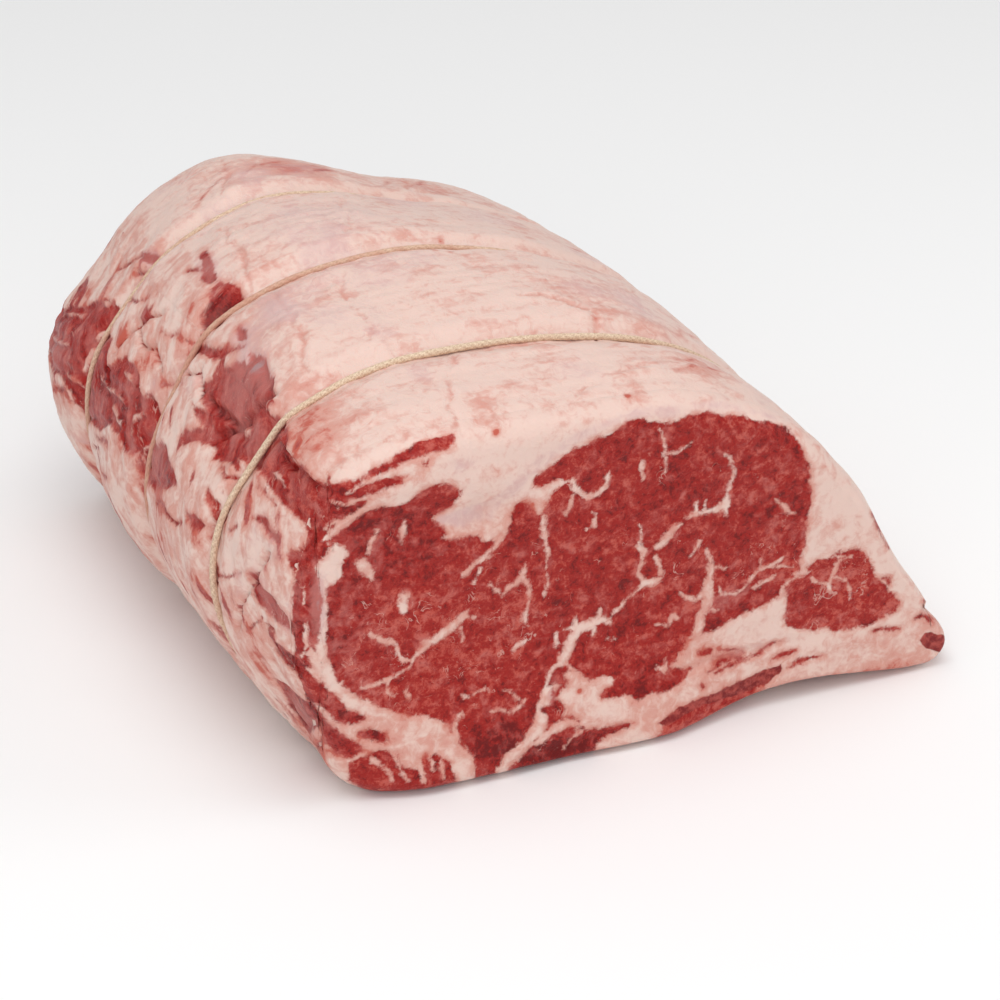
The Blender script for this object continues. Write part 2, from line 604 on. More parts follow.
SIDE_LEAN = (  # closed lines of y, down: each is a lobe or strip of lean on the chine side
    (
        (2, -3), (12, 0), (20, -1), (25, 1.5), (29, 2.5), (33, -2.5), (37, -4), (47, -3.5), (52, -2.5), (57, -2),
        (59, -6.5), (62, -9.8), (68, -9.8), (74, -12), (79, -12), (84, -10), (81, -6.5), (86, -5), (92, 0),
        (96, 6), (98, 11), (96, 12.6), (92, 14), (90, 16), (97, 17.8), (90, 19), (86, 20.6), (90, 24), (94, 27),
        (92, 31), (88, 29), (84, 25.6), (80, 24), (76, 22.5), (73, 25), (68, 24), (62, 22.5), (57, 22), (56, 20.6),
        (60, 19), (54, 16), (48, 16), (40, 15.2), (30, 16), (20, 17.4), (12, 18), (8, 22), (9, 28), (14, 31),
        (12, 33), (8, 36), (8, 45), (5, 50), (-4, 50), (-4, -3),
    ),
    (
        (84, 42), (90, 39.5), (96, 38.5), (103, 36), (108, 37), (113, 39.5), (119, 38), (124, 34.6), (128, 31),
        (131, 29.5), (134, 32.7), (137, 31), (141, 27), (147, 25), (152, 25), (158, 27.5), (161, 31), (165, 34),
        (170, 24), (176, 23), (183, 25), (184, 14.5), (190, 14), (194, 15), (199, 17), (203, 19.7), (208, 23),
        (213, 25.6), (219, 28), (224, 31), (230, 33), (244, 36), (244, 56), (214, 57), (208, 56), (200, 53.6),
        (194, 56), (190, 61), (187, 64), (181, 65.7), (176, 62), (170, 58), (166, 58), (160, 56), (155, 53.6),
        (149, 51), (142, 50), (139, 52.6), (132, 52.6), (127, 51.5), (125.5, 57), (123, 58), (120, 54), (116, 53.6),
        (112, 56), (106, 53.6), (100, 51), (95, 49), (88, 44.5),
    ),
    ((89, -10), (92, -9), (96, -4.3), (104, -1.5), (112, 1), (119, 3.7), (121.5, 9.4), (118, 7), (104, 3), (97, -0.5)),
    ((92, -12), (97, -12.8), (102, -11), (100, -9), (95, -9.5)),
    ((119, -19), (123, -20.4), (131, -16.7), (130, -13), (127, -9.8), (125, -6.5), (123, -2), (121, -1), (120, -6.5)),
    ((115, -7.6), (118, -9), (119.5, -6.5), (118, -4), (115.5, -4.5)),
    ((131, -16), (136, -18), (145, -20), (150, -21.5), (155, -20), (154, -18), (149, -16.7), (144, -15.5), (138, -12)),
    ((181, -10), (184, -9), (189, -7.6), (193, -4.5), (187, -4), (182, -6.5)),
    ((16, 29.5), (20, 27.5), (27, 25), (30, 25.8), (33.5, 28), (27, 29.2), (20, 30)),
    ((4, 56), (8, 53.6), (14, 50), (20, 48.8), (27, 45.8), (29, 48), (26, 53.6), (22, 56), (14, 57), (8, 58)),
    ((4, 67), (10, 67), (17, 65), (19, 67), (16, 71.5), (12, 74.4), (6, 75), (3, 73)),
    ((-4, 78), (3, 80), (7, 87), (16, 87.5), (25, 88.5), (23, 94), (25, 100), (21, 107), (16, 106), (5, 96), (-4, 95)),
    ((59, 45), (63, 43), (67, 44), (72, 45.5), (66, 47), (61, 48)),
)
SIDE_STREAKS = (  # open lines of y, down, half width: thin lean in the fat
    ((55.5, 39, 0.6), (58, 36, 1.3), (61, 34.6, 1.6), (65, 34, 0.5)),
    ((56, 38, 0.8), (55, 42, 0.9), (56, 48, 0.5)),
    ((144, -15, 0.8), (148, -13.2, 1.3), (151, -11.5, 0.8)),
    ((188, -6.5, 0.8), (196, -2.2, 0.8), (203, 3.7, 0.7), (206, 5, 0.2)),
    ((182, -0.5, 0.9), (185, 0.5, 0.9), (188, 2, 0.4)),
    ((122, 4.5, 0.5), (130, 6.3, 0.4), (136, 8.5, 0.4), (140, 10, 0.2)),
    ((110, 16, 0.3), (119, 14.5, 0.4)),
    ((119, 19, 0.4), (123, 21.5, 0.5), (127, 24, 0.6)),
    ((162, 4.5, 0.3), (168, 8, 0.6), (174, 9.4, 0.8), (184, 9.4, 0.8)),
    ((148, 57, 0.4), (156, 58.5, 0.5), (165, 61, 0.4)),
    ((158, 63, 0.4), (165, 66, 0.6), (171, 68.5, 0.5)),
    ((146, 68, 0.5), (152, 71, 0.7), (160, 74, 0.5)),
    ((73, 51, 0.5), (80, 53.6, 0.9), (90, 52, 0.7), (100, 56, 0.7)),
    ((55, 24.5, 0.6), (60, 25.6, 0.9), (66, 25.6, 0.5)),
    ((26, 19.3, 0.3), (32, 19, 0.5), (38, 19, 0.3)),
    ((14, 61.8, 0.4), (19, 61.3, 0.7)),
    ((5, 102, 0.8), (12, 111, 1.4), (18, 116, 1.0)),
    ((1, 104, 1.8), (4, 110, 1.2)),
    ((22, 60, 0.2), (25, 64, 0.5), (28, 68, 0.3)),
    ((33, 49, 0.2), (40, 53, 0.4), (48, 57.5, 0.5)),
    ((40, 36, 0.3), (46, 38.5, 0.3)),
    ((52, 56, 0.9), (53, 63, 0.9)),
    ((56, 80, 0.6), (57, 86, 0.3)),
    ((185, 69, 1.2), (187, 73, 1.5), (188, 78, 0.9)),
    ((190, 95, 1.0), (194, 99, 0.8)),
    ((192, 61, 0.5), (198, 58, 0.9), (205, 61, 0.7), (210, 63, 0.5)),
)
SIDE_SEAMS = (  # open lines of y, down, half width: fat in the lean
    ((192, 16.8, 0.7), (196, 17.2, 0.5)),
    ((187, 26, 1.2), (189, 30, 0.8)),
    ((187, 36, 1.4), (188, 41, 1.2), (190, 46, 0.6)),
    ((187, 52.5, 0.6), (192, 50.5, 1.0), (196, 49.8, 0.6)),
    ((143, 38.4, 0.5), (155, 39.5, 0.5), (170, 40.5, 0.4)),
    ((140, 31, 0.4), (150, 30, 0.4)),
    ((121, 37, 0.5), (123, 43, 0.6), (125, 49, 0.5), (124, 53, 0.3)),
    ((130, 37, 0.4), (135, 40, 0.5), (133, 46, 0.4)),
    ((141, 46.5, 0.4), (152, 44, 0.5)),
    ((62, 8.8, 0.8), (65, 9.8, 1.5), (67, 10, 0.8)),
    ((26, 11, 0.4), (31, 10.3, 0.7), (36, 12, 0.3)),
    ((205, 27, 0.3), (214, 30, 0.4), (222, 34, 0.3)),
    ((203, 40, 0.4), (212, 43, 0.5), (224, 48, 0.3)),
)
CLEFTS = (  # open lines of y, down, half width: where lobes part
    ((58, -8, 0.5), (60, -4, 1.0), (66, 3, 1.4), (70, 9.4, 1.6), (77, 17.4, 1.3), (80, 20.6, 0.8)),
    ((72, 11, 0.5), (84, 12.6, 0.8), (92, 12.6, 0.5)),
    ((27, 4.5, 0.4), (33, 4.2, 0.5)),
    ((96, 13, 0.3), (104, 8, 0.6), (112, 12, 0.3)),
    ((132, 20, 0.3), (140, 17, 0.5), (150, 18, 0.5), (158, 13, 0.2)),
    ((146, 4, 0.3), (152, 9, 0.6), (160, 18, 0.5), (163, 26, 0.4)),
    ((54, 26, 0.4), (53, 36, 0.8), (56, 46, 0.5)),
    ((22, 36, 0.3), (26, 46, 0.5), (32, 60, 0.5), (36, 72, 0.3)),
    ((120, -18, 0.6), (121, -10, 1.0), (122, -3, 0.6)),
    ((166, 34, 0.5), (162, 38, 0.4)),
)
CREASES = (  # open lines of y, down, half width: folds and membrane edges on the cap
    ((-2, -50, 0.4), (12, -53, 0.7), (30, -59, 0.7), (45, -68, 0.4)),
    ((48, -121, 0.3), (60, -124, 0.6), (70, -112, 0.6), (72, -100, 0.3)),
    ((57, -20, 0.5), (66, -23, 0.8), (75, -26, 0.8), (92, -27, 0.6), (110, -28, 0.4)),
    ((120, -24, 0.4), (136, -28, 0.8), (150, -29, 0.8), (165, -31, 0.4)),
    ((60, -44, 0.3), (74, -48, 0.6), (88, -46, 0.5), (104, -52, 0.3)),
    ((128, -62, 0.3), (142, -70, 0.6), (158, -72, 0.5), (172, -80, 0.3)),
    ((84, -150, 0.3), (96, -158, 0.6), (108, -160, 0.3)),
    ((190, -40, 0.3), (204, -48, 0.6), (220, -50, 0.4)),
    ((12, -96, 0.2), (20, -110, 0.5), (24, -128, 0.3)),
    ((196, -112, 0.3), (206, -120, 0.6), (218, -118, 0.3)),
)
CAP_STREAKS = (  # open lines of y, down, half width: red threads on the cap
    ((192, -30, 0.3), (198, -36, 0.6), (203, -44, 0.4)),
    ((200, -52, 0.3), (207, -60, 0.5), (211, -70, 0.3)),
    ((202, -80, 0.7), (206, -86, 1.3), (209, -92, 0.6)),
    ((194, -101, 0.3), (203, -108, 0.7), (212, -112, 0.4)),
    ((206, -122, 0.4), (216, -128, 0.8), (224, -133, 0.4)),
    ((196, -124, 0.2), (202, -131, 0.4)),
    ((20, -137, 0.2), (24, -146, 0.5), (27, -156, 0.3)),
    ((28, -140, 0.2), (31, -150, 0.4)),
    ((108, -92, 0.3), (112, -96, 0.5)),
    ((60, -160, 0.2), (66, -166, 0.5), (70, -174, 0.3)),
    ((134, -150, 0.2), (140, -158, 0.4), (143, -168, 0.2)),
)
print(len(SIDE_LEAN), "lobes,", len(SIDE_STREAKS), "streaks,", len(SIDE_SEAMS), "seams,", len(CLEFTS), "clefts")

# %% [markdown]
# A pattern is worked out once for a set of points and then used twice: for the colours, and for the
# relief, because lean sinks a little below the fat beside it and a cleft is a real groove.

# %% The skin's pattern


def skin_pattern(place, y):
    """Depth in lean, tone, blush, film and relief in millimetres, at each point of the skin."""
    place, y = np.broadcast_arrays(np.asarray(place, float), np.asarray(y, float))
    down = down_from_flap(place)
    sheet = in_space(y, down)
    rough = in_space(cloud(sheet, 5, 1), cloud(sheet, 5, 2)) + 0.6 * in_space(cloud(sheet, 2, 3), cloud(sheet, 2, 4))
    drawn = sheet + 0.9 * rough
    run, over = down * 0.88 - y * 0.47, y * 0.88 + down * 0.47
    depth = np.full(y.shape, -9.0)
    for shape in SIDE_LEAN:
        depth = np.maximum(depth, depth_in_shape(drawn, shape))
    for streak in SIDE_STREAKS:
        depth = np.maximum(depth, depth_in_vein(drawn, streak))
    for streak in CAP_STREAKS:
        depth = np.maximum(depth, depth_in_vein(drawn, streak) - 0.5)
    for seam in SIDE_SEAMS:
        depth = np.minimum(depth, -depth_in_vein(drawn, seam))
    cleft = np.full(y.shape, -9.0)
    for line in CLEFTS:
        cleft = np.maximum(cleft, depth_in_vein(drawn, line))
    fold = np.full(y.shape, -9.0)
    for line in CREASES:
        fold = np.maximum(fold, depth_in_vein(sheet + 1.6 * rough, line))
    # the underside: lean between the ribs, membrane on them, all in ragged patches
    long_cloud = clouds(in_space(y * 0.5, down), 16, 11)
    rib = sum(hill(y, at, 11) for at in RIB_PLACES)
    under = smooth(-place, 0.27, 0.36)
    below = 3.0 * long_cloud + 1.2 - 4.5 * rib * smooth(-place, 0.5, 0.65) - 5 * smooth(-place, 0.86, 0.9)
    depth = depth * (1 - under) + np.clip(below, -4, 4) * under
    cap = smooth(place, 0.04, 0.12)
    tone = 0.5 * clouds(sheet, 14, 21) + spots_at(
        sheet,
        (
            (20, 5, 18, 8, 0.35), (64, 4, 7, 6, 0.6), (76, 20, 8, 6, 0.5), (125, -8, 8, 9, -0.9), (66, 16, 8, 6, 0.2),
            (6, 10, 5, 14, 0.5), (60, 36, 8, 5, 0.8), (100, 50, 8, 5, 1.0), (116, 55, 5, 8, 0.8), (130, 44, 6, 8, 0.4),
            (186, 22, 5, 9, 0.3), (12, 70, 9, 5, -0.9), (14, 94, 12, 9, -0.5), (76, 14, 10, 2, -0.9), (200, 44, 14, 8, 0.1),
        ),
    )
    film = 0.55 * smooth(clouds(sheet, 26, 31), 0.05, 0.5) * (place > -0.2) + spots_at(
        sheet,
        (
            (76, -8, 14, 4, 0.6), (97, -10, 8, 4, 0.7), (142, -17, 10, 4, 1.0), (187, -6, 8, 4, 0.8), (118, 12, 9, 5, 0.5),
            (145, -62, 22, 32, 0.6), (75, -148, 16, 12, 0.8), (200, -60, 14, 30, 0.5), (95, -26, 16, 6, 0.6), (110, 42, 8, 6, 0.5), (16, 100, 10, 8, 0.5), (216, 46, 14, 9, 0.5),
        ),
    )
    blush = 0.25 * clouds(sheet, 9, 41) + spots_at(
        sheet,
        (
            (26, -14, 20, 16, 0.75), (205, -60, 16, 30, 0.5), (205, -125, 14, 20, 0.5), (100, -20, 22, 14, 0.35),
            (60, -150, 24, 16, 0.3), (20, 24, 16, 8, 0.25), (28, 80, 5, 9, 0.9), (98, 52, 10, 5, 1.1), (116, 58, 4, 8, 1.0),
            (141, 22, 4, 6, 0.9), (129, 25, 5, 4, 0.8), (164, 20, 4, 4, 1.0), (60, 60, 40, 14, 0.2), (206, 61, 10, 5, 0.9),
            (12, 112, 12, 9, 0.8), (214, 21, 6, 5, 0.6), (207, 95, 30, 20, 0.2), (8, -60, 10, 60, 0.2), (205, -75, 9, 14, 0.8),
            (24, -148, 8, 10, 0.6), (110, -88, 2, 1.5, 1.6), (7.5, -112, 1.4, 1.2, 2.4), (2.5, -66, 1.2, 1.2, 2.2),
            (122, -96, 1.2, 1.0, 1.6), (115, -86, 1.0, 1.0, 1.5),
        ),
    )
    blush = blush + 0.5 * smooth(-place, 0.86, 0.94) + 0.3 * under
    ragged = clouds(in_space(y, down, place * 0), 5, 51)
    fibre = clouds(in_space(y * 0.18, down), 2.4, 61, 2)
    bumps = 0.9 * clouds(sheet, 24, 71) + 0.35 * clouds(sheet, 8, 72)
    sunk = -1.3 * smooth(depth, -0.8, 1.6) + 0.9 * smooth(depth, 1.0, 5.0)
    open_side = smooth(0.09 - place, 0, 0.05) * (1 - under)
    relief = bumps * (0.55 + 0.45 * cap) + sunk * open_side + 0.35 * ragged * open_side
    relief = relief + open_side * 0.8 * clouds(in_space(run * 0.5, over), 7, 75)
    relief = relief + 0.4 * fibre * open_side * smooth(depth, -1, 1) - 2.6 * smooth(cleft, -1.6, 0.8)
    # fine puckers across the cap beside each turn of twine
    apart = np.min([np.abs(y - turn_y(turn, place)) for turn in range(3)], axis=0)
    pucker = cloud(in_space(down, y * 0.1), 3.2, 81) * np.exp(-((apart / 7) ** 2))
    relief = relief + 0.35 * pucker * cap + 0.25 * cloud(in_space(down * 0.15, y), 2.2, 82) * cap
    relief = relief - 0.7 * smooth(fold, -1.2, 0.6) + 0.5 * smooth(fold, -6, -1)
    blush = blush + 0.5 * smooth(fold, -1.0, 0.5)
    relief = relief * (0.15 + 0.85 * smooth(0.9 - np.abs(place), 0, 0.08))
    relief = np.where(under > 0.5, -np.abs(relief) * 0.5, relief)
    tone = tone - 1.4 * smooth(cleft, -1.0, 0.8)
    depth = np.maximum(depth, np.where(cleft > 0, 0.6, -9))
    # red and pale streaks that run down and forward on the chine side
    flesh = clouds(in_space(run * 0.26, over), 4.2, 101, 3) + 0.35 * clouds(sheet, 18, 102)
    strip = (flesh - 0.45) * 7
    strip = np.where((place > -0.36) & (place < 0.03), strip, -9)
    depth = np.maximum(depth, strip)
    blush = blush + open_side * (0.25 + 0.5 * clouds(in_space(run * 0.4, over), 6, 103))
    film = film + open_side * smooth(depth, -1, 1) * (0.2 + 0.5 * clouds(in_space(run * 0.4, over), 7, 104))
    on_cap = place > 0
    flow = in_space(np.where(on_cap, y, 0.35 * run), np.where(on_cap, 0.25 * down, over), 40.0 + 0 * y) * MM
    side = smooth(y, 8.5, 16) * smooth(LENGTH - y, 8.5, 16)
    none = np.full(y.shape, -9.0)
    patterns = {"lean": depth, "tone": tone, "blush": blush, "film": film, "marrow": none}
    return patterns | {"fleck": 0 * y + 0.5, "side": side, "flow": flow}, relief


test_pattern, test_relief = skin_pattern(np.linspace(-0.9, 0.9, 7), 60.0)
print("relief round the roast at y = 60:", np.round(test_relief, 1), "mm")

# %% [markdown]
# ## The cut face
#
# A saw and a knife have gone straight across the loin. The big round muscle in the middle is the eye,
# with the cap muscle over it, and the duller muscle at the left lay along the backbone. Fat runs between
# them in seams that widen to pockets, and the smaller square muscle lies in the thick fat at the right.
# The lines below are drawn on the face in millimetres, muscles first, then the seams in them.

# %% Muscles and seams of the face
EYE = (
    (-12, 97), (-3, 101), (3, 105), (9, 106), (14, 105), (18, 106), (22, 109), (28, 110), (33, 109), (36, 106),
    (36, 103), (33, 100), (27, 97.5), (29, 94.5), (32, 91.5), (30, 90), (36, 88.5), (42, 88), (44, 86), (48, 86),
    (51, 88), (53, 92), (55, 96), (57, 97), (60, 95), (63, 91), (65, 93), (67, 97), (70, 99.5), (74, 101), (70, 102.5),
    (66, 101.5), (61, 101.5), (61, 104), (63, 106), (66, 107), (69, 109), (72, 111.5), (75, 113), (80, 113.5),
    (83, 115), (87, 115.5), (90, 117), (95, 118.5), (99, 118.5), (101, 116.5), (106, 115.5), (109, 114.5),
    (111, 115.5), (116, 116.5), (121, 116.5), (127, 114.5), (132, 113), (136, 111), (140, 109.5), (147, 107.5),
    (151, 105.5), (154, 102), (156, 98), (158, 93), (160.5, 88), (161, 82), (161, 76), (160, 68), (160, 60),
    (158.5, 54), (158, 50), (155, 47), (152, 45), (151, 42), (148, 40), (142, 39), (136, 37.5), (130, 36),
    (126, 34.5), (124, 34.5), (120, 34.5), (117, 34.5), (115, 31), (113, 27.5), (110, 25.5), (114, 24), (118, 22.7),
    (113, 19.5), (107, 17.5), (103, 18), (99, 16.5), (97, 16.5), (95, 18), (92, 20), (88, 20), (84, 20.5),
    (83, 22), (85, 24), (88, 24.5), (89, 26), (88, 27.5), (84, 28), (80, 27.5), (79, 29), (77, 31), (75, 32.5),
    (73, 34), (70, 36), (66, 33), (67, 27), (68, 24), (70, 23), (71, 20), (70, 16.5), (66, 15), (62, 13.5),
    (57, 10), (50, 6), (48, 1), (38, 1), (38, 8), (36.5, 12), (33.5, 16), (33, 21), (31, 21), (29, 24), (26, 26.5),
    (20, 28.5), (10, 30.5), (4, 34), (-2, 39), (-7, 45), (-10, 52), (-10.5, 62), (-10, 80), (-7, 82), (-5, 84),
    (-5, 88), (-2, 91), (-4, 94), (-7, 96.5),
)
SQUARE_MUSCLE = (
    (153.5, 43), (154, 46), (157, 47.5), (160, 47.5), (163, 48.5), (161, 50.5), (165, 52), (169, 51), (170, 53),
    (177, 54), (181, 53.5), (183, 52), (185, 47), (188, 41), (192, 36), (196, 31), (197, 29), (196, 25.5),
    (190, 24), (186, 22.5), (183, 23), (178, 23), (173, 22.5), (170, 25), (165, 24.5), (160, 26.5), (157, 27.5),
    (154, 30), (153.5, 36),
)
FACE_LEAN = (
    EYE,
    SQUARE_MUSCLE,
    ((48, 0.5), (50, 6), (54, 9), (58, 9), (62, 9), (66, 12), (71, 13), (76, 12), (80, 11), (84, 10), (91, 10),
     (95, 9), (90, 7.5), (86, 6.5), (82, 4.5), (80, 2.5), (84, 1), (98, 1), (98, -4), (48, -4)),
    ((-8, 118), (0, 117), (3, 118), (5, 120), (12, 121), (14, 123), (20, 125), (20, 127), (27, 127.5), (33, 127),
     (34, 124), (32, 122), (22, 121), (16, 120), (11, 118), (4, 117), (-2, 113), (4, 115), (10, 116), (17, 115.5),
     (16, 113), (9, 111), (-2, 110.5), (-6, 108), (5, 110), (4, 108), (0, 105.5), (-5, 104), (-12, 98), (-7, 96.5),
     (-10, 92), (-15, 90), (-22, 84), (-26, 90), (-22, 104), (-16, 118)),
    ((-30, 102), (-12.5, 101), (-12, 92), (-12.5, 84), (-11.3, 78), (-12, 70), (-13.5, 62), (-16, 54), (-24, 52), (-30, 60)),
    ((-26, 66), (-21, 60), (-17, 52), (-11, 46), (-8, 42), (-3, 35.5), (2, 31), (-2, 29), (-8, 31), (-12, 38),
     (-20, 42), (-26, 52)),
    ((-22, 40), (-14, 36), (-9, 30), (-5, 26), (0, 21.5), (2, 19), (-3, 17), (-9, 20), (-14, 27), (-19, 33)),
    ((-1, 27), (4, 27), (9, 24), (9.5, 21.5), (8, 20.5), (4, 21), (0, 24)),
    ((-4, 15), (2, 17), (7, 19), (12, 17), (14, 12), (17, 10), (21, 15), (25, 14), (28, 12), (31, 9), (32, 2),
     (20, -3), (4, -3), (-4, 8)),
    ((104, 4), (106, 8), (112, 11), (124, 11), (130, 11), (137, 12.5), (145, 14), (152, 14.5), (153, 12),
     (148, 9), (142, 6.5), (136, 5), (130, 4.5), (124, 3.5), (118, 3), (112, 1), (106, -1), (101, -1), (101, 1)),
)
FACE_VEINS = (  # fat: open lines of x, z, half width
    ((75, 101, 0.7), (76, 98, 1.1), (78, 95.5, 1.0), (80, 94, 0.8), (83, 94.5, 0.8), (86, 96.5, 0.8), (87.5, 102, 0.4)),
    ((75, 96, 0.5), (74, 92, 0.6), (72.5, 89.5, 0.4)),
    ((82.7, 87, 0.5), (82.3, 84.5, 0.6), (82.5, 82.5, 0.5), (80, 82, 0.4)),
    ((99, 103, 0.4), (98.7, 100, 0.5), (99.5, 97, 0.3)),
    ((105, 113, 0.3), (107, 109, 0.5), (107.5, 102, 0.6), (106.8, 97, 0.4)),
    ((107.5, 104, 0.5), (111, 103, 0.4), (114, 105, 0.3), (117, 106, 0.2)),
    ((99, 80, 0.2), (98.5, 73, 0.5), (100, 70, 0.8), (99.5, 66, 0.5), (98.7, 62, 0.6), (100, 59, 1.0), (103, 57.5, 1.6),
     (106.5, 58.3, 0.9)),
    ((104, 67, 0.8), (105.5, 64, 0.9), (107, 60.5, 0.7)),
    ((104.5, 70, 0.6), (107, 72, 1.3), (109.5, 74.5, 1.2), (114, 77, 0.3)),
    ((129, 99.5, 0.3), (131, 97, 0.3), (132, 93, 0.4), (131, 88, 0.5), (130, 83, 0.7), (129, 80, 1.6), (130, 76.5, 0.5)),
    ((129, 80, 1.0), (126, 79.5, 0.8), (122, 79.5, 0.4), (118, 79.5, 0.6), (115, 79, 0.2)),
    ((119, 84, 0.3), (119.5, 80, 0.5)),
    ((122.5, 83, 0.3), (122.5, 80, 0.3)),
    ((148, 77.5, 0.4), (151, 76, 0.7), (153, 73, 0.6), (155, 72, 0.3)),
    ((120, 69, 0.4), (119, 66, 0.3), (118, 64, 0.2)),
    ((123, 66, 0.3), (124.5, 61, 0.9), (125, 57, 1.3), (124, 53, 1.6), (123.5, 49, 1.8), (124.5, 46, 1.5),
     (123, 43, 1.7), (121.5, 40, 1.6), (120.5, 36, 2.0), (119, 32, 3.0)),
    ((114, 51, 0.4), (117, 48.5, 0.8), (120, 47, 0.7), (122, 49, 0.8)),
    ((126, 58.5, 0.5), (130, 57, 0.3)),
    ((128, 50, 0.3), (129, 48, 0.5), (133, 47, 0.7), (137, 47.5, 0.5), (140, 51, 0.7), (144, 53, 0.8), (149, 54, 0.5),
     (152, 56, 0.3)),
    ((143.5, 53, 0.5), (143.5, 57, 0.5)),
    ((148, 53, 0.3), (152, 52.5, 0.5), (155, 51.5, 0.3)),
    ((141, 47, 0.2), (147, 48.5, 0.4), (149, 50, 0.2)),
    ((126, 43, 0.6), (128, 42, 0.4)),
    ((105, 42, 0.2), (108, 41, 0.4), (110, 40, 0.5), (111, 44, 0.5), (113, 42, 0.7)),
    ((87, 41, 0.2), (90, 40, 0.3)),
    ((105, 26, 0.4), (108, 25, 0.6), (108, 29, 0.2)),
    ((46, 1, 2.2), (50, 7, 2.2), (56, 11, 2.2), (61, 16, 2.6), (62.5, 20, 2.3), (64, 25, 2.1), (66, 31, 1.3),
     (69, 35, 1.5), (72, 39, 1.8), (75, 44, 1.8), (77, 46.5, 1.6), (80, 46.5, 1.3), (83, 47.5, 1.5), (86, 48, 1.2),
     (88, 46.5, 0.6)),
    ((76, 47, 0.8), (76.5, 50, 0.4)),
    ((84, 49, 0.7), (85, 52, 0.3)),
    ((83, 45, 0.7), (82, 43, 0.4)),
    ((72, 47.5, 0.4), (76, 46.5, 0.8)),
    ((72, 35, 1.0), (73, 30, 0.9), (74, 26, 2.0)),
    ((88, 47, 0.4), (90, 49, 0.4), (93, 51, 0.8), (94, 54, 0.5), (97, 55, 0.3), (100, 57.5, 0.6)),
    ((36.5, 75.5, 0.5), (40, 78, 0.7), (44, 80, 0.7), (47, 83, 0.8), (50, 87, 1.1), (52, 91, 1.3)),
    ((40, 72, 0.2), (42, 76, 0.4)),
    ((64, 90, 0.6), (65, 86, 0.8), (65.5, 80, 0.4), (66, 76, 0.5), (65.5, 70, 0.3), (66, 66, 0.4), (65, 62, 0.2)),
    ((58, 74, 0.4), (57, 71, 0.7), (55, 68, 0.8), (51, 67, 0.5), (50, 64.5, 0.3)),
    ((57, 70, 0.7), (59, 67, 0.8), (60, 63, 0.6), (59, 60, 0.4), (58.5, 57, 0.9), (57.5, 54.5, 0.7), (59, 52, 0.4)),
    ((23, 54, 0.9), (26, 54, 1.6), (29, 55.5, 1.6), (33, 57.5, 1.6), (36.5, 60, 1.2), (38, 61.5, 0.5)),
    ((37, 60, 0.8), (41, 58.5, 0.2)),
    ((35.5, 56, 0.5), (36, 51, 0.3)),
    ((24, 53, 0.8), (21, 50.5, 0.9), (18, 49, 0.3), (15.5, 49, 0.9), (14, 52, 0.4), (12, 56, 0.5), (8, 58, 0.8),
     (5, 61, 0.5)),
    ((20, 50, 0.5), (17, 46, 0.3), (13, 44.5, 0.4), (10, 43, 0.7), (4, 41.8, 0.5), (1, 42.5, 0.4), (1, 44, 0.2)),
    ((10, 42.5, 0.4), (9.8, 38, 0.4), (12, 37, 0.2)),
    ((16, 38, 0.6), (17, 35.5, 0.5)),
    ((16, 72, 1.6), (16, 67, 1.0)),
    ((2, 87, 1.8), (4, 84, 1.6), (5, 81, 0.6)),
    ((8, 97, 0.6), (6, 94, 0.7), (4.5, 90, 0.4)),
    ((17, 99, 0.5), (17, 94, 0.9), (16, 91, 0.5)),
    ((46, 70, 0.3), (48, 67, 0.7)),
    ((54, 43.5, 0.4), (56, 45, 1.2), (58, 46.5, 0.4)),
    ((45, 25, 0.2), (47.5, 25, 0.4), (50, 24, 0.3), (53, 23, 0.5), (56, 24.5, 0.4), (57, 26, 0.2)),
    ((50, 31, 0.3), (53, 28.5, 0.4), (55, 26.5, 0.2)),
    ((31, 20, 0.8), (33, 24, 0.6), (34.5, 26.5, 0.3)),
    ((35, 32.5, 0.4), (37.5, 31.5, 0.3)),
    ((40, 31.5, 0.3), (43, 32.5, 0.2)),
    ((69, 47, 0.4), (68.5, 42, 0.3)),
    ((70, 15, 0.3), (76, 11, 0.4), (72, 8, 0.3), (70, 5, 0.2)),
    ((163, 45.5, 0.5), (167, 43, 0.9), (170, 42, 0.8)),
    ((178, 50.5, 0.3), (174, 50, 0.5), (172, 48, 0.6), (171, 45, 0.5), (170, 42, 0.8), (170.5, 37.5, 0.4)),
    ((171, 44, 0.4), (175, 42, 0.4), (178, 38, 0.4), (178, 34, 0.2)),
    ((170, 52, 0.3), (175, 51, 0.4)),
    ((-16, 59, 1.6), (-12, 52, 2.4), (-8, 45, 2.2), (-2, 38, 2.2), (4, 32.5, 2.6), (12, 28, 3.0), (20, 24, 4.0),
     (26, 20, 5.0), (32, 12, 3.0), (34, 3, 3.2)),
    ((14, 22, 3.0), (17, 16, 2.0), (18.5, 11, 1.0), (20, 6, 0.5)),
    ((-9, 31.5, 0.7), (-5, 27.5, 1.0), (0, 23.5, 0.9), (5, 20, 1.0), (10, 19.5, 0.9), (12, 13, 0.6), (14.5, 7, 0.4)),
    ((22, 14, 0.5), (23.5, 9, 0.5)),
    ((4, 15, 0.7), (8, 11, 0.5), (10, 7, 0.3)),
    ((26, 11, 0.4), (27, 5, 0.4)),
    ((-10, 88, 3.4), (-7, 92, 2.4), (-9, 84, 2.0)),
    ((-17, 92, 0.5), (-19, 84, 0.7), (-18, 78, 0.3)),
    ((-18, 70, 0.6), (-17, 62, 0.8), (-19, 58, 0.4)),
    ((-11, 112, 0.5), (-4, 110, 0.4)),
    ((-14, 101, 0.4), (-6, 104, 0.6)),
    ((-20, 96, 0.8), (-19, 88, 0.8)),
)
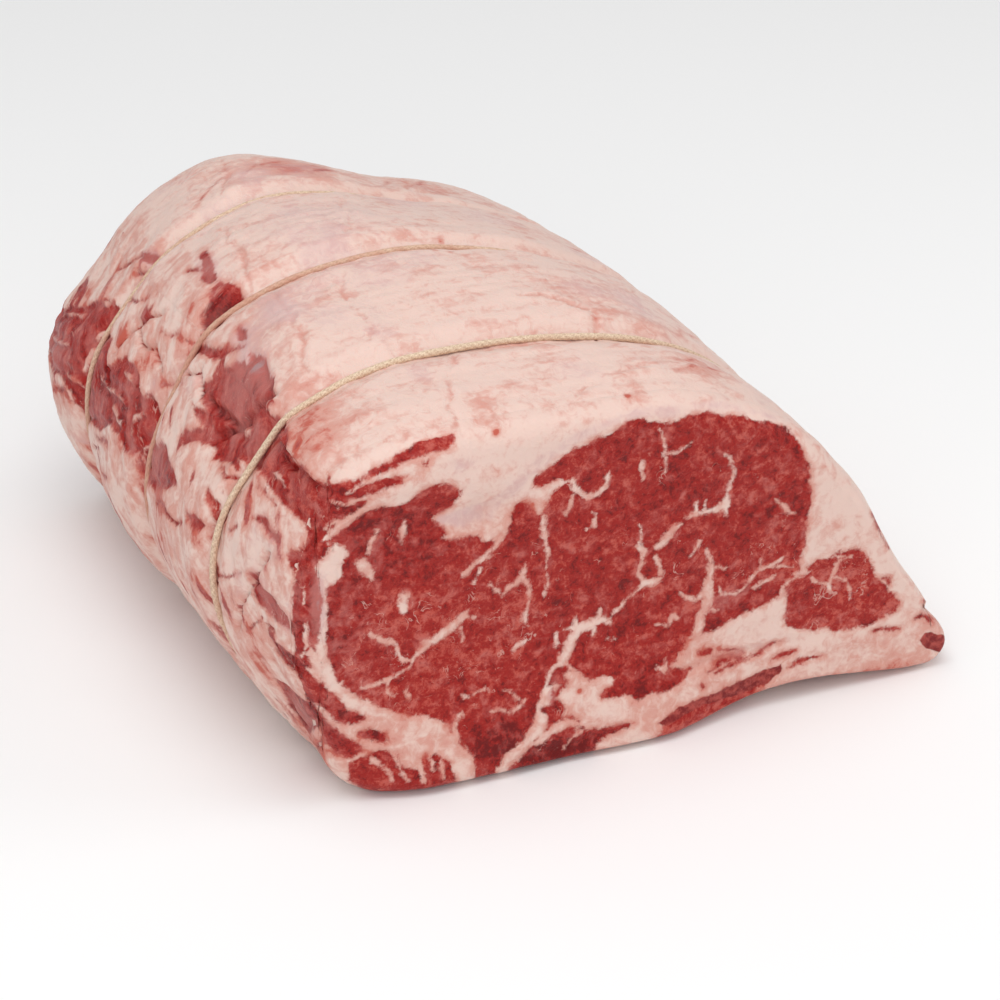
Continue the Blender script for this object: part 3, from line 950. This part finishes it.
FACE_STREAKS = (  # thin lean in the fat: open lines of x, z, half width
    ((124, 20, 0.3), (130, 22, 0.8), (136, 21, 0.5), (143, 21, 0.7), (150, 23.5, 0.7), (153, 23, 0.3)),
    ((126, 19.3, 0.3), (133, 19.8, 0.7), (141, 20.5, 0.4)),
    ((128, 27, 0.2), (134, 25, 0.3), (139, 22.5, 0.2)),
    ((149, 17, 0.3), (153, 18.3, 0.9), (158, 19, 0.6)),
    ((155, 13, 0.3), (159, 14.2, 1.1), (163, 14.6, 1.1), (168, 14, 0.3)),
    ((187, 20.3, 0.3), (193, 19.8, 1.0), (198, 18.3, 0.5)),
    ((204, 20.7, 0.5), (207, 20.8, 0.8), (210, 19, 0.6)),
    ((207, 27, 0.3), (211, 23, 0.9), (216, 16, 0.8)),
    ((121, 27.3, 0.8), (124, 27, 1.2)),
    ((121.3, 16.5, 0.5), (121.7, 15.3, 0.4)),
    ((66.5, 30, 1.2), (69, 33, 1.8), (71, 34, 1.2)),
    ((68, 26, 1.0), (71, 29, 1.0), (69.5, 31, 1.8)),
    ((63, 21, 1.0), (67, 19.5, 2.6), (69.5, 20, 1.6)),
    ((72, 17, 0.8), (75, 14.6, 0.5)),
    ((22.5, 119.5, 0.2), (24, 117.6, 0.5), (26, 119.5, 0.2)),
    ((190, 40, 0.3), (192.5, 39, 1.0), (193, 37, 0.6)),
    ((185, 66, 0.4), (188, 58, 0.5), (192, 51, 0.4)),
)
FACE_MARROW = (
    ((103, 7), (108, 9), (112, 11.3), (118, 11), (124, 11.2), (130, 11.3), (137, 12.8), (145, 14.3), (152.5, 14.8),
     (153, 12), (148, 9), (140, 7.6), (132, 7.8), (122, 8.4), (112, 7.6), (106, 6)),
    ((206, 12), (207.5, 14.2), (210, 14.4), (213, 13), (216, 11), (217.5, 7), (216, 4), (212, 6.5), (208, 9)),
)
MEMBRANE = (
    (30, 96, 1.2), (38, 95, 3.0), (46, 96, 3.2), (52, 101, 2.6), (58, 107, 2.4), (66, 111.5, 2.0), (75, 116, 1.8),
    (84, 118.5, 1.6), (96, 121, 1.5), (108, 119, 2.2), (117, 119, 1.6), (127, 117.5, 1.6), (140, 113, 1.6), (152, 107.5, 1.2),
)
print(len(FACE_LEAN), "muscles and strips,", len(FACE_VEINS), "seams,", len(FACE_STREAKS), "streaks")

# %% The face's pattern


def face_pattern(x, z, fresh=True):
    """Depth in lean, tone, blush, film, marrow and relief on a cut across the loin. With fresh=False the
    drawing is bent by slow clouds first, so that another cut through the same muscles looks related."""
    flat = in_space(x, z)
    if not fresh:
        flat = flat + 5.0 * in_space(cloud(flat, 38, 91), cloud(flat, 38, 92))
        flat = flat + 1.5 * in_space(cloud(flat, 11, 93), cloud(flat, 11, 94))
    seed = 0 if fresh else 300
    wander = in_space(cloud(flat, 4.5, seed + 1), cloud(flat, 4.5, seed + 2))
    fine = in_space(cloud(flat, 1.7, seed + 3), cloud(flat, 1.7, seed + 4))
    drawn = flat + 0.55 * wander + 0.35 * fine
    depth = np.full(x.shape, -9.0)
    for shape in FACE_LEAN:
        depth = np.maximum(depth, depth_in_shape(drawn, shape))
    for vein in FACE_VEINS:
        depth = np.minimum(depth, -depth_in_vein(drawn, vein))
    for streak in FACE_STREAKS:
        depth = np.maximum(depth, depth_in_vein(drawn, streak))
    marrow = np.full(x.shape, -9.0)
    if fresh:
        for shape in FACE_MARROW:
            marrow = np.maximum(marrow, depth_in_shape(drawn, shape))
    tone = 0.35 * clouds(flat, 12, seed + 21) + spots_at(
        flat,
        (
            (46, 14, 12, 10, -1.4), (70, 6, 18, 6, -1.5), (12, 100, 16, 6, -0.7), (24, 92, 14, 8, -0.4), (95, 20, 8, 5, -0.6),
            (125, 7, 16, 4, 0.7), (110, 3, 8, 3, 1.4), (112, 31, 6, 6, 0.7), (104, 35, 6, 6, 0.3), (26, 124, 9, 4, 0.9),
            (0, 116, 10, 4, 0.6), (-14, 100, 5, 14, 0.7), (68, 96, 5, 4, 0.5), (10, 80, 20, 14, -0.2), (155, 49, 5, 3, 0.8),
            (-12, 22, 6, 7, 0.7), (6, 10, 8, 5, 0.5), (24, 8, 8, 5, 0.2), (-6, 24, 6, 6, -0.5), (3, 24, 5, 3, -0.5),
            (88, 80, 30, 22, 0.05), (150, 100, 10, 8, 0.3), (30, 58, 34, 24, 0.7), (174, 38, 16, 14, 0.8), (192, 27, 5, 3, 0.5), (160, 14, 8, 3, 0.4),
        ),
    )
    band = depth_in_vein(flat, MEMBRANE)
    film = smooth(band, -2.0, 1.2) * (0.75 + 0.5 * clouds(flat, 6, seed + 31)) + spots_at(
        flat,
        (
            (-13, 76, 3, 12, 1.3), (66, 26, 2, 5, 0.6), (36, 115, 5, 3, 0.7), (-10, 30, 8, 10, 0.35), (-3, 62, 10, 22, 0.25),
            (14, 88, 24, 8, 0.2), (140, 24, 14, 3, 0.5), (152, 42, 4, 4, 0.3), (128, 44, 4, 4, 0.4), (132, 46, 8, 6, 0.3),
        ),
    )
    blush = 0.18 * clouds(flat, 7, seed + 41) + spots_at(
        flat,
        (
            (20, 22, 22, 14, 0.5), (76, 24, 9, 10, 0.55), (60, 94, 8, 5, 0.7), (104, 12, 26, 7, 0.5), (118, 28, 8, 8, 0.6),
            (150, 4, 40, 5, 1.0), (196, 4, 18, 6, 0.9), (176, 17, 22, 5, 0.45), (135, 24, 16, 5, 0.55), (130, 4, 12, 3, 1.1),
            (-18, 26, 8, 12, 0.8), (4, 110, 16, 9, 0.3), (210, 20, 7, 8, 0.7), (48, 124, 1.2, 1.2, 2.2), (76, 25, 1.0, 1.0, 2.0),
            (40, 90, 10, 4, 0.5), (190, 14, 14, 4, 0.3),
        ),
    )
    relief = 0.7 * clouds(flat, 26, seed + 71) + 0.22 * clouds(flat, 6, seed + 72) - 0.35 * smooth(depth, -0.5, 0.6)
    relief = relief - 0.25 * smooth(-depth, 1.5, 0.2) * smooth(-depth, 0, 0.4)
    relief = relief + spots_at(
        flat,
        (
            (42, 96, 12, 5, -3.2), (20, 112, 16, 5, 1.2), (46, 108, 10, 6, 1.5), (12, 96, 18, 6, -1.0), (122, 28, 20, 6, -0.8),
            (136, 23, 22, 2, -1.3), (110, 5, 10, 4, 1.0), (70, 5, 16, 4, -1.5), (174, 36, 14, 10, -0.5), (160, 80, 6, 30, 0.4),
        ),
    )
    relief = relief + 0.16 * cloud(flat * (0.25, 1.0), 1.6, seed + 75) * smooth(depth, -0.2, 0.6)
    fleck = 0.3 * clouds(flat, 20, seed + 51) + spots_at(
        flat,
        ((40, 55, 34, 26, 0.9), (174, 38, 18, 14, 1.1), (66, 12, 20, 10, 0.6), (110, 80, 40, 30, 0.2), (10, 50, 14, 20, 0.6)),
    )
    patterns = {"lean": depth, "tone": tone, "blush": blush, "film": film, "marrow": marrow, "fleck": fleck}
    return patterns | {"side": 0 * x, "flow": in_space(x, z, 0 * x) * MM}, relief


# %% [markdown]
# The face is a slab with a rounded rim. Its grid fills the slice's outline column by column. Points near
# the outline are carried round the rim on a quarter of an ellipse, and end on the skin 8 mm back, so the
# slab and the skin meet without a step. The pattern changes over to the skin's along the rim.

# %% The slab at an end
RIM_DEPTH = 8.0
RIM_PLACES = (-1.0, -0.96, -0.9, -0.6, -0.36, -0.28, -0.17, -0.05, 0.0, 0.1, 0.5, 0.66, 0.8, 1.0)
RIM_REACH = (3.0, 3.0, 3.0, 3.0, 5.0, 8.0, 10.0, 8.0, 6.0, 9.0, 9.0, 7.0, 5.0, 3.0)


def filled_outline(ring, columns, rows):
    """x and z of a grid that fills a closed ring: each column runs from the lower to the upper line."""
    ring = np.roll(ring, -int(np.argmin(ring[:, 0])), axis=0)
    last = int(np.argmax(ring[:, 0]))
    upper, lower = ring[: last + 1], np.vstack([ring[last:], ring[:1]])[::-1]
    share = np.linspace(0, 1, columns)
    eased = 0.72 * share + 0.28 * (1 - np.cos(np.pi * share)) / 2
    x = upper[0, 0] + (upper[-1, 0] - upper[0, 0]) * eased
    top = np.interp(x, np.maximum.accumulate(upper[:, 0]), upper[:, 1])
    bottom = np.interp(x, np.maximum.accumulate(lower[:, 0]), lower[:, 1])
    up = np.linspace(0, 1, rows)[:, None]
    return np.broadcast_to(x, (rows, columns)).copy(), bottom + (top - bottom) * up


def nearest_on_ring(points, ring, places):
    """For each point the distance to the ring, the nearest point on it and that point's place."""
    best = np.full(points.shape[:-1], 1e9)
    spot, place = np.zeros(points.shape), np.zeros(points.shape[:-1])
    for k in range(len(ring) - 1):
        a, b = ring[k], ring[k + 1]
        apart, share = to_line(points, a, b)
        closer = apart < best
        best = np.where(closer, apart, best)
        spot[closer] = (a + share[..., None] * (b - a))[closer]
        place = np.where(closer, places[k] + share * (places[k + 1] - places[k]), place)
    return best, spot, place


def with_spare(patterns, spare):
    """Patterns as flat lists, with values for a number of extra points inside that nobody sees."""
    flat = {}
    for key, value in patterns.items():
        rows = value.reshape(-1, 3) if key == "flow" else value.ravel()
        extra = np.zeros((spare, *rows.shape[1:])) - 5.0 * (key == "lean")
        flat[key] = np.concatenate([rows, extra])
    return flat


def end_slab(name, columns, rows, fresh, finish, nodes):
    """The cut face at y = 0, or with fresh=False the far one: a closed slab with a rounded rim."""
    deep = RIM_DEPTH if fresh else LENGTH - RIM_DEPTH
    inward = 1.0 if fresh else -1.0
    ring_places = np.linspace(-1, 1, 361)
    relief = skin_pattern(ring_places, deep)[1]
    ring = np.column_stack(skin(ring_places, deep, relief)[:2])
    x, z = filled_outline(ring, columns, rows)
    flat = in_space(x, z)
    apart, spot, place = nearest_on_ring(flat, ring, ring_places)
    reach = np.interp(place, RIM_PLACES, RIM_REACH)
    turn = 0.5 * np.pi * np.clip(apart / reach, 0, 1)
    pull = np.where(apart < reach, reach * (1 - np.cos(turn)), apart)
    ahead = (flat - spot) / np.maximum(apart, 1e-9)[..., None]
    flat = spot + ahead * pull[..., None]
    back = RIM_DEPTH * (1 - np.sin(turn))
    x, z = flat[..., 0], flat[..., 1]
    slant = back if fresh else 0 * back
    on_face, face_relief = face_pattern(x - 0.44 * slant, z + 0.55 * slant, fresh)
    round_rim, round_relief = skin_pattern(place, deep - inward * (RIM_DEPTH - back))
    over = smooth(back, 3.0, 7.5)
    now = np.stack(skin(place, deep - inward * (RIM_DEPTH - back), round_relief)[:2], axis=-1)
    x = x + (now - spot)[..., 0] * (back / RIM_DEPTH) ** 2
    z = z + (now - spot)[..., 1] * (back / RIM_DEPTH) ** 2
    patterns = {}
    for key in on_face:
        share = over[..., None] if key == "flow" else over
        patterns[key] = on_face[key] * (1 - share) + round_rim[key] * share
    raised = face_relief * smooth(apart, 0.0, 5.0)
    y = (0 if fresh else LENGTH) + inward * (back - raised)
    y = leaned(x, y, z)
    points = in_space(x, y, z).reshape(-1, 3)
    edge = np.concatenate(
        [np.arange(columns), np.arange(1, rows) * columns + columns - 1,
         (rows - 1) * columns + np.arange(columns - 2, -1, -1), np.arange(rows - 2, 0, -1) * columns]
    )
    centre = np.array([85.0, 0, 55.0])
    rings, faces, start = [], [grid_faces(rows, columns)], edge
    rim_place = place.ravel()[edge]
    for inset, depth in ((0.35, 2.0), (1.2, 3.0), (4.0, 4.0), (14.0, 4.5)):
        under = deep + inward * depth
        rim_x, rim_z, _, _ = skin(rim_place, under, skin_pattern(rim_place, under)[1] - inset)
        rim = in_space(rim_x, leaned(rim_x, under, rim_z), rim_z)
        first = len(points) + sum(len(r) for r in rings)
        after = first + np.arange(len(edge))
        faces.append(np.stack([start, after, np.roll(after, -1), np.roll(start, -1)], axis=-1))
        rings.append(rim)
        start = after
    middle = len(points) + sum(len(r) for r in rings)
    faces.append(fan_faces(start, middle)[:, ::-1])
    if not fresh:
        faces = [corners[:, ::-1] for corners in faces]
    points = np.vstack([points, *rings, centre + (0, (0 if fresh else LENGTH) + inward * (RIM_DEPTH + 4.5), 0)])
    spare = len(points) - x.size
    return add_piece(name, points, faces, finish, nodes, with_spare(patterns, spare))


cut_face = end_slab("cut_face", 400, 212, True, CUT_BEEF, ("side_muscle", "rib_bone_1"))
far_face = end_slab("far_face", 230, 122, False, CUT_BEEF, ())

# %% [markdown]
# ## The skins
#
# Two closed shells cover the rest: the trimmed side and underside, from the flap down and round to the
# rib tips, and the fat cap over the top. Each starts and ends inside the slabs at the two ends, and is
# closed by a coarse inner wall that nobody sees. The cap's edge is rolled, because a knife leaves a lip
# of fat at the flap.

# %% A shell round the roast


def shell(name, places, rolled, inner, rows, finish, nodes, under_cap=0):
    """Closed shell: the skin at the given places, a rolled edge at its start, and an inner wall.

    rolled and inner are rows of place and millimetres below the skin, followed round the section."""
    y = rows[:, None]
    outer_pattern, relief = skin_pattern(places[None, :], y)
    dive = 0.6 * (1 - smooth(y, 5.5, 9.5)) + 0.6 * (1 - smooth(LENGTH - y, 5.5, 9.5))
    dive = dive + under_cap * (lip(places[None, :], y) + 2.0 * smooth(places[None, :], 0.004, 0.03))
    x, z, _, _ = skin(places[None, :], y, relief - dive)
    walls_x, walls_z, walls = [x], [z], [outer_pattern]
    for place, below in (*inner, *rolled):
        edge = np.array([place])
        pattern, bump = skin_pattern(edge[None, :], y)
        wall_x, wall_z, _, _ = skin(edge[None, :], y, bump * (below < 4) - below - dive[:, -1:])
        walls_x.append(wall_x)
        walls_z.append(wall_z)
        walls.append(pattern)
    x, z = np.hstack(walls_x), np.hstack(walls_z)
    patterns = {key: np.hstack([wall[key] for wall in walls]) for key in outer_pattern}
    points = in_space(x, leaned(x, y + 0 * x, z), z)
    columns = x.shape[1]
    middles = points.mean(axis=1)[[0, -1]]
    near, far = np.arange(columns), (len(rows) - 1) * columns + np.arange(columns)
    total = len(rows) * columns
    faces = [grid_faces(len(rows), columns, wrap=True), fan_faces(near, total)[:, ::-1], fan_faces(far, total + 1)]
    points = np.vstack([points.reshape(-1, 3), middles])
    return add_piece(name, points, faces, finish, nodes, with_spare(patterns, 2))


LONG_ROWS = np.linspace(6.0, LENGTH - 6.0, 226)
side_places = np.concatenate([even_places(0.03, -0.37, 1.0), even_places(-0.37, -1.0, 2.6)[1:]])
side_inner = [(p, 12.0) for p in np.linspace(-0.98, -0.02, 24)]
roast_body = shell("roast_body", side_places, (), side_inner, LONG_ROWS, SIDE_BEEF, ("lean_body",), 1)

CAP_ROWS = np.linspace(6.0, LENGTH - 6.0, 200)
cap_places = even_places(0.0, 1.0, 1.15)
cap_inner = [(1.0, 3.0)] + [(p, 7.0) for p in np.linspace(0.98, 0.03, 30)]
cap_edge = [(0.012, 7.0), (0.004, 5.0), (-0.001, 2.6), (-0.004, 1.2), (-0.004, 0.35)]
fat_cap = shell("fat_cap", cap_places, cap_edge, cap_inner, CAP_ROWS, CAP_BEEF, ("fat_cover",))

# %% [markdown]
# ## The sawn ribs
#
# Four ribs run under the meat, and their sawn ends show at the thin edge: a hard pale ring round dark
# spongy marrow. The first rib was cut along its length by the face, so it is already in the face's
# pattern. The other three are flattened tubes carried along one gently curved line.

# %% Bone


def bone_finish():
    """Sawn rib: cream with a pink cast, pores along the bone, and marrow where the mesh says so."""
    finish = bpy.data.materials.new("sawn rib bone")
    finish.use_nodes = True
    tree = finish.node_tree
    shader = tree.nodes["Principled BSDF"]
    place = node(tree, "TexCoord").outputs["Object"]
    patch = noise(tree, place, 7, 3, 0.6)
    pore = noise(tree, stretched(tree, place, 0.3, 1.0, 1.0), 0.8, 2)
    outside = mixed(tree, step(tree, patch, 0.35, 0.7), (0.66, 0.42, 0.36, 1), (0.55, 0.24, 0.19, 1))
    sponge = noise(tree, place, 1.3, 2, 0.6)
    inside = mixed(tree, step(tree, sponge, 0.42, 0.62), (0.17, 0.012, 0.014, 1), (0.46, 0.14, 0.12, 1))
    core = node(tree, "Attribute", {"attribute_name": "marrow"}).outputs["Fac"]
    edge = maths(tree, "ADD", core, maths(tree, "MULTIPLY_ADD", patch, 1.4, -0.7))
    colour = mixed(tree, step(tree, edge, -0.35, 0.35), outside, inside)
    tree.links.new(colour, shader.inputs["Base Color"])
    tree.links.new(maths(tree, "MULTIPLY_ADD", pore, 0.3, 0.32), shader.inputs["Roughness"])
    height = maths(tree, "MULTIPLY_ADD", sponge, 0.8, pore)
    bump = node(tree, "Bump", None, Strength=0.5, Distance=0.0006, Height=height)
    tree.links.new(bump.outputs[0], shader.inputs["Normal"])
    shader.inputs["Subsurface Weight"].default_value = 0.08
    shader.inputs["Subsurface Radius"].default_value = (1.0, 0.4, 0.3)
    shader.inputs["Subsurface Scale"].default_value = 0.0015
    return finish


BONE = bone_finish()

# %% Ribs
RIB_LINE = ((104, 6.5), (128, 8.8), (156, 10.5), (184, 9.6), (204, 9.0), (218.3, 9.2))  # x, z of the middle
RIB_NODES = ("rib_bone_2", "rib_bone_3", "rib_bone_4")


def rib(name, middle, thick, finish_seed, cad_node):
    """A flattened tube along the rib line: |across|^2.6 + |up|^2.6 = 1, closed by rings at both ends."""
    line = np.array(RIB_LINE)
    x = np.linspace(line[0, 0], line[-1, 0], 60)
    height = np.interp(x, line[:, 0], line[:, 1])
    height = np.convolve(np.pad(height, 6, mode="edge"), np.ones(13) / 13, mode="valid")
    angle = np.linspace(0, 2 * np.pi, 40, endpoint=False)
    across = np.sign(np.cos(angle)) * np.abs(np.cos(angle)) ** (2 / 2.6)
    up = np.sign(np.sin(angle)) * np.abs(np.sin(angle)) ** (2 / 2.6)
    fullness = 1 - 0.10 * smooth(218 - x, 20, 90)
    half_y, half_z = 9.4 * fullness[:, None], 0.5 * thick * fullness[:, None]
    body = in_space(x[:, None] + 0 * angle, middle + half_y * across, height[:, None] + half_z * up)
    body[..., 1:] += 0.35 * in_space(cloud(body, 9, finish_seed), cloud(body, 8, finish_seed + 1))
    rings = [body]
    for share in (0.92, 0.8, 0.66, 0.5, 0.3, 0.12):
        ring = body[-1:] * share + body[-1:].mean(axis=1, keepdims=True) * (1 - share)
        ring[..., 0] += 0.25 * cloud(ring, 2.0, finish_seed + 2) - 0.35 * (share < 0.7)
        rings.append(ring)
    points = np.concatenate(rings, axis=0)
    depth = np.full(points.shape[:2], -4.0)
    for k, share in enumerate((0.92, 0.8, 0.66, 0.5, 0.3, 0.12)):
        depth[len(x) + k] = (0.74 - share) * 6
    rows, columns = points.shape[:2]
    caps = [fan_faces(np.arange(columns), rows * columns)[:, ::-1]]
    caps.append(fan_faces((rows - 1) * columns + np.arange(columns), rows * columns + 1))
    ends = [points[0].mean(axis=0), points[-1].mean(axis=0)]
    faces = [grid_faces(rows, columns, wrap=True)[:, ::-1], caps[0][:, ::-1], caps[1][:, ::-1]]
    marrow = np.append(depth.ravel(), [-4.0, 4.0])
    return add_piece(name, np.vstack([points.reshape(-1, 3), ends]), faces, BONE, (cad_node,), {"marrow": marrow})


for k, (at, cad_node) in enumerate(zip((75.2, 138.0, 201.0), RIB_NODES)):
    rib(f"rib_{k + 2}", at, 10.0, 500 + 10 * k, cad_node)

# %% [markdown]
# ## The butcher's twine
#
# Cotton twine is three strands twisted together. One turn of it is a closed tube whose cross-section is
# a rounded trefoil that turns as it goes along. The path follows the skin, and is then evened out,
# because a tight string bridges small hollows. Where it has soaked up juice it turns pink.

# %% Twine


def twine_finish():
    """Cotton: cream in the light and darker between strands, pink where the stain attribute is high."""
    finish = bpy.data.materials.new("cotton twine")
    finish.use_nodes = True
    tree = finish.node_tree
    shader = tree.nodes["Principled BSDF"]
    place = node(tree, "TexCoord").outputs["Object"]
    fibre = noise(tree, place, 0.5, 2, 0.7)
    patch = noise(tree, place, 6, 3, 0.6)
    read = {key: node(tree, "Attribute", {"attribute_name": key}).outputs["Fac"] for key in ("stain", "groove")}
    cotton = mixed(tree, step(tree, fibre, 0.3, 0.7), (0.62, 0.44, 0.30, 1), (0.86, 0.70, 0.52, 1))
    soaked = maths(tree, "ADD", read["stain"], maths(tree, "MULTIPLY_ADD", patch, 1.0, -0.5))
    colour = mixed(tree, step(tree, soaked, 0.1, 1.0), cotton, (0.60, 0.30, 0.22, 1))
    colour = mixed(tree, maths(tree, "MULTIPLY", read["groove"], 0.6), colour, (0.36, 0.19, 0.12, 1))
    tree.links.new(colour, shader.inputs["Base Color"])
    shader.inputs["Roughness"].default_value = 0.78
    bump = node(tree, "Bump", None, Strength=0.6, Distance=0.0003, Height=fibre)
    tree.links.new(bump.outputs[0], shader.inputs["Normal"])
    return finish


TWINE = twine_finish()


def twine_turn(name, turn, radius, out, stain, cad_node):
    """One turn: path = skin at the turn's y, evened out; section radius = r (0.85 + 0.15 |cos 1.5 a|)."""
    place = even_places(-1.0, 1.0, 0.9, 116.0)[:-1]
    y = turn_y(turn, place) + 0.5 * cloud(in_space(place * 300, place * 0), 30, 600 + turn)
    x, z, normal_x, normal_z = skin(place, y, out)
    path = in_space(x, leaned(x, y, z), z)
    for _ in range(3):
        path = sum(np.roll(path, k, axis=0) for k in range(-4, 5)) / 9
    path[:, 2] = np.maximum(path[:, 2], 0.7 + radius)
    ahead = np.roll(path, -1, axis=0) - np.roll(path, 1, axis=0)
    ahead /= np.linalg.norm(ahead, axis=1)[:, None]
    outward = in_space(normal_x, 0 * normal_x, normal_z)
    outward -= np.sum(outward * ahead, axis=1)[:, None] * ahead
    outward /= np.linalg.norm(outward, axis=1)[:, None]
    aside = np.cross(ahead, outward)
    run = np.cumsum(np.linalg.norm(np.roll(path, -1, axis=0) - path, axis=1))
    turns = round(run[-1] / 9)
    angle = np.linspace(0, 2 * np.pi, 18, endpoint=False)
    phase = 2 * np.pi * turns * (run / run[-1])[:, None]
    bulge = np.abs(np.cos(1.5 * (angle - phase)))
    reach = radius * (0.88 + 0.12 * bulge**0.7)
    reach = reach * (1 + 0.06 * cloud(in_space(run, 0 * run), 4, 610 + turn))[:, None]
    ring = outward[:, None] * np.cos(angle)[:, None] + aside[:, None] * np.sin(angle)[:, None]
    points = path[:, None] + ring * reach[..., None]
    points[..., 2] = np.maximum(points[..., 2], 0.65)
    rows, columns = points.shape[:2]
    index = np.arange(rows * columns).reshape(rows, columns)
    after, beside = np.roll(index, -1, axis=0), np.roll(index, -1, axis=1)
    faces = [np.stack([index, beside, np.roll(after, -1, axis=1), after], axis=-1).reshape(-1, 4)[:, ::-1]]
    soaked = np.interp(place, *stain)[:, None] + 0 * reach
    patterns = {"stain": soaked, "groove": np.clip(1 - 1.6 * bulge, 0, 1)}
    return add_piece(name, points, faces, TWINE, (cad_node,), patterns)


twine_turn("twine_front", 0, 1.2, 0.9, ((-1, -0.3, 0, 0.2, 0.4, 0.6, 1), (0.8, 0.6, 0.1, 0.0, 0.2, 0.3, 0.8)), "twine_1")
twine_turn("twine_middle", 1, 1.1, 0.3, ((-1, -0.3, 0, 0.2, 0.4, 0.6, 1), (0.9, 0.9, 0.8, 0.6, 0.5, 0.5, 0.9)), "twine_2")
twine_turn("twine_back", 2, 1.0, 0.2, ((-1, -0.3, 0, 0.2, 0.4, 0.6, 1), (0.9, 0.7, 0.4, 0.3, 0.3, 0.5, 0.9)), "twine_3")

# %% [markdown]
# ## Floor, light and camera
#
# A pale floor and big soft lights, as in a product picture: most of the light comes from above, a little
# from the front. The long lens stands in front and to the left, and looks down at the face and the
# chine side.

# %% Stage


def soft_light(name, place, size, power):
    """A square area light that looks at the middle of the roast."""
    light = bpy.data.lights.new(name, "AREA")
    light.shape, light.size, light.energy = "SQUARE", size, power
    lamp = bpy.data.objects.new(name, light)
    lamp.location = place
    lamp.rotation_euler = (-lamp.location + mathutils.Vector((0, 0, 0.06))).to_track_quat("-Z", "Y").to_euler()
    bpy.context.scene.collection.objects.link(lamp)
    return lamp


import mathutils

floor_mesh = bpy.data.meshes.new("floor")
floor_mesh.from_pydata([(-6, -6, -0.0004), (6, -6, -0.0004), (6, 6, -0.0004), (-6, 6, -0.0004)], [], [(0, 1, 2, 3)])
floor = bpy.data.objects.new("floor", floor_mesh)
bpy.context.scene.collection.objects.link(floor)
paper = bpy.data.materials.new("paper floor")
paper.use_nodes = True
paper.node_tree.nodes["Principled BSDF"].inputs["Base Color"].default_value = (0.93, 0.93, 0.93, 1)
paper.node_tree.nodes["Principled BSDF"].inputs["Roughness"].default_value = 0.9
floor_mesh.materials.append(paper)
floor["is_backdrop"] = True

soft_light("light above", (-0.25, -0.25, 1.5), 1.3, 12)
soft_light("light in front", (-0.7, -1.4, 0.8), 1.0, 6.5)
soft_light("light at the right", (1.3, -0.5, 0.9), 0.9, 3.5)
world = bpy.data.worlds.new("studio air")
world.use_nodes = True
world.node_tree.nodes["Background"].inputs["Color"].default_value = (1.0, 1.0, 1.0, 1)
world.node_tree.nodes["Background"].inputs["Strength"].default_value = 0.5
bpy.context.scene.world = world
bpy.context.scene.view_settings.view_transform = "Standard"

# %% Camera
lens = bpy.data.cameras.new("long lens")
lens.lens, lens.sensor_width = 135.0, 36.0
camera = bpy.data.objects.new("camera", lens)
camera.location = np.array([-371.0, -957.4, 655.7]) * MM + SHIFT
camera.rotation_euler = (math.radians(62.0), 0.0, math.radians(-23.7))
bpy.context.scene.collection.objects.link(camera)
bpy.context.scene.camera = camera
print("camera at", [round(v, 3) for v in camera.location])

# %% [markdown]
# ## Sizes
#
# The dressed roast must stay the size of its solids, so both boxes are written down and compared.

# %% Sizes and finish
visual_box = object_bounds()
boxes = {
    "cad": [[float(v) for v in corner] for corner in CAD_BOX],
    "visual": [[float(v) for v in corner] for corner in visual_box],
}
for title, (low, high) in boxes.items():
    print(title, "box in mm:", [round(1000 * (b - a), 1) for a, b in zip(low, high)])
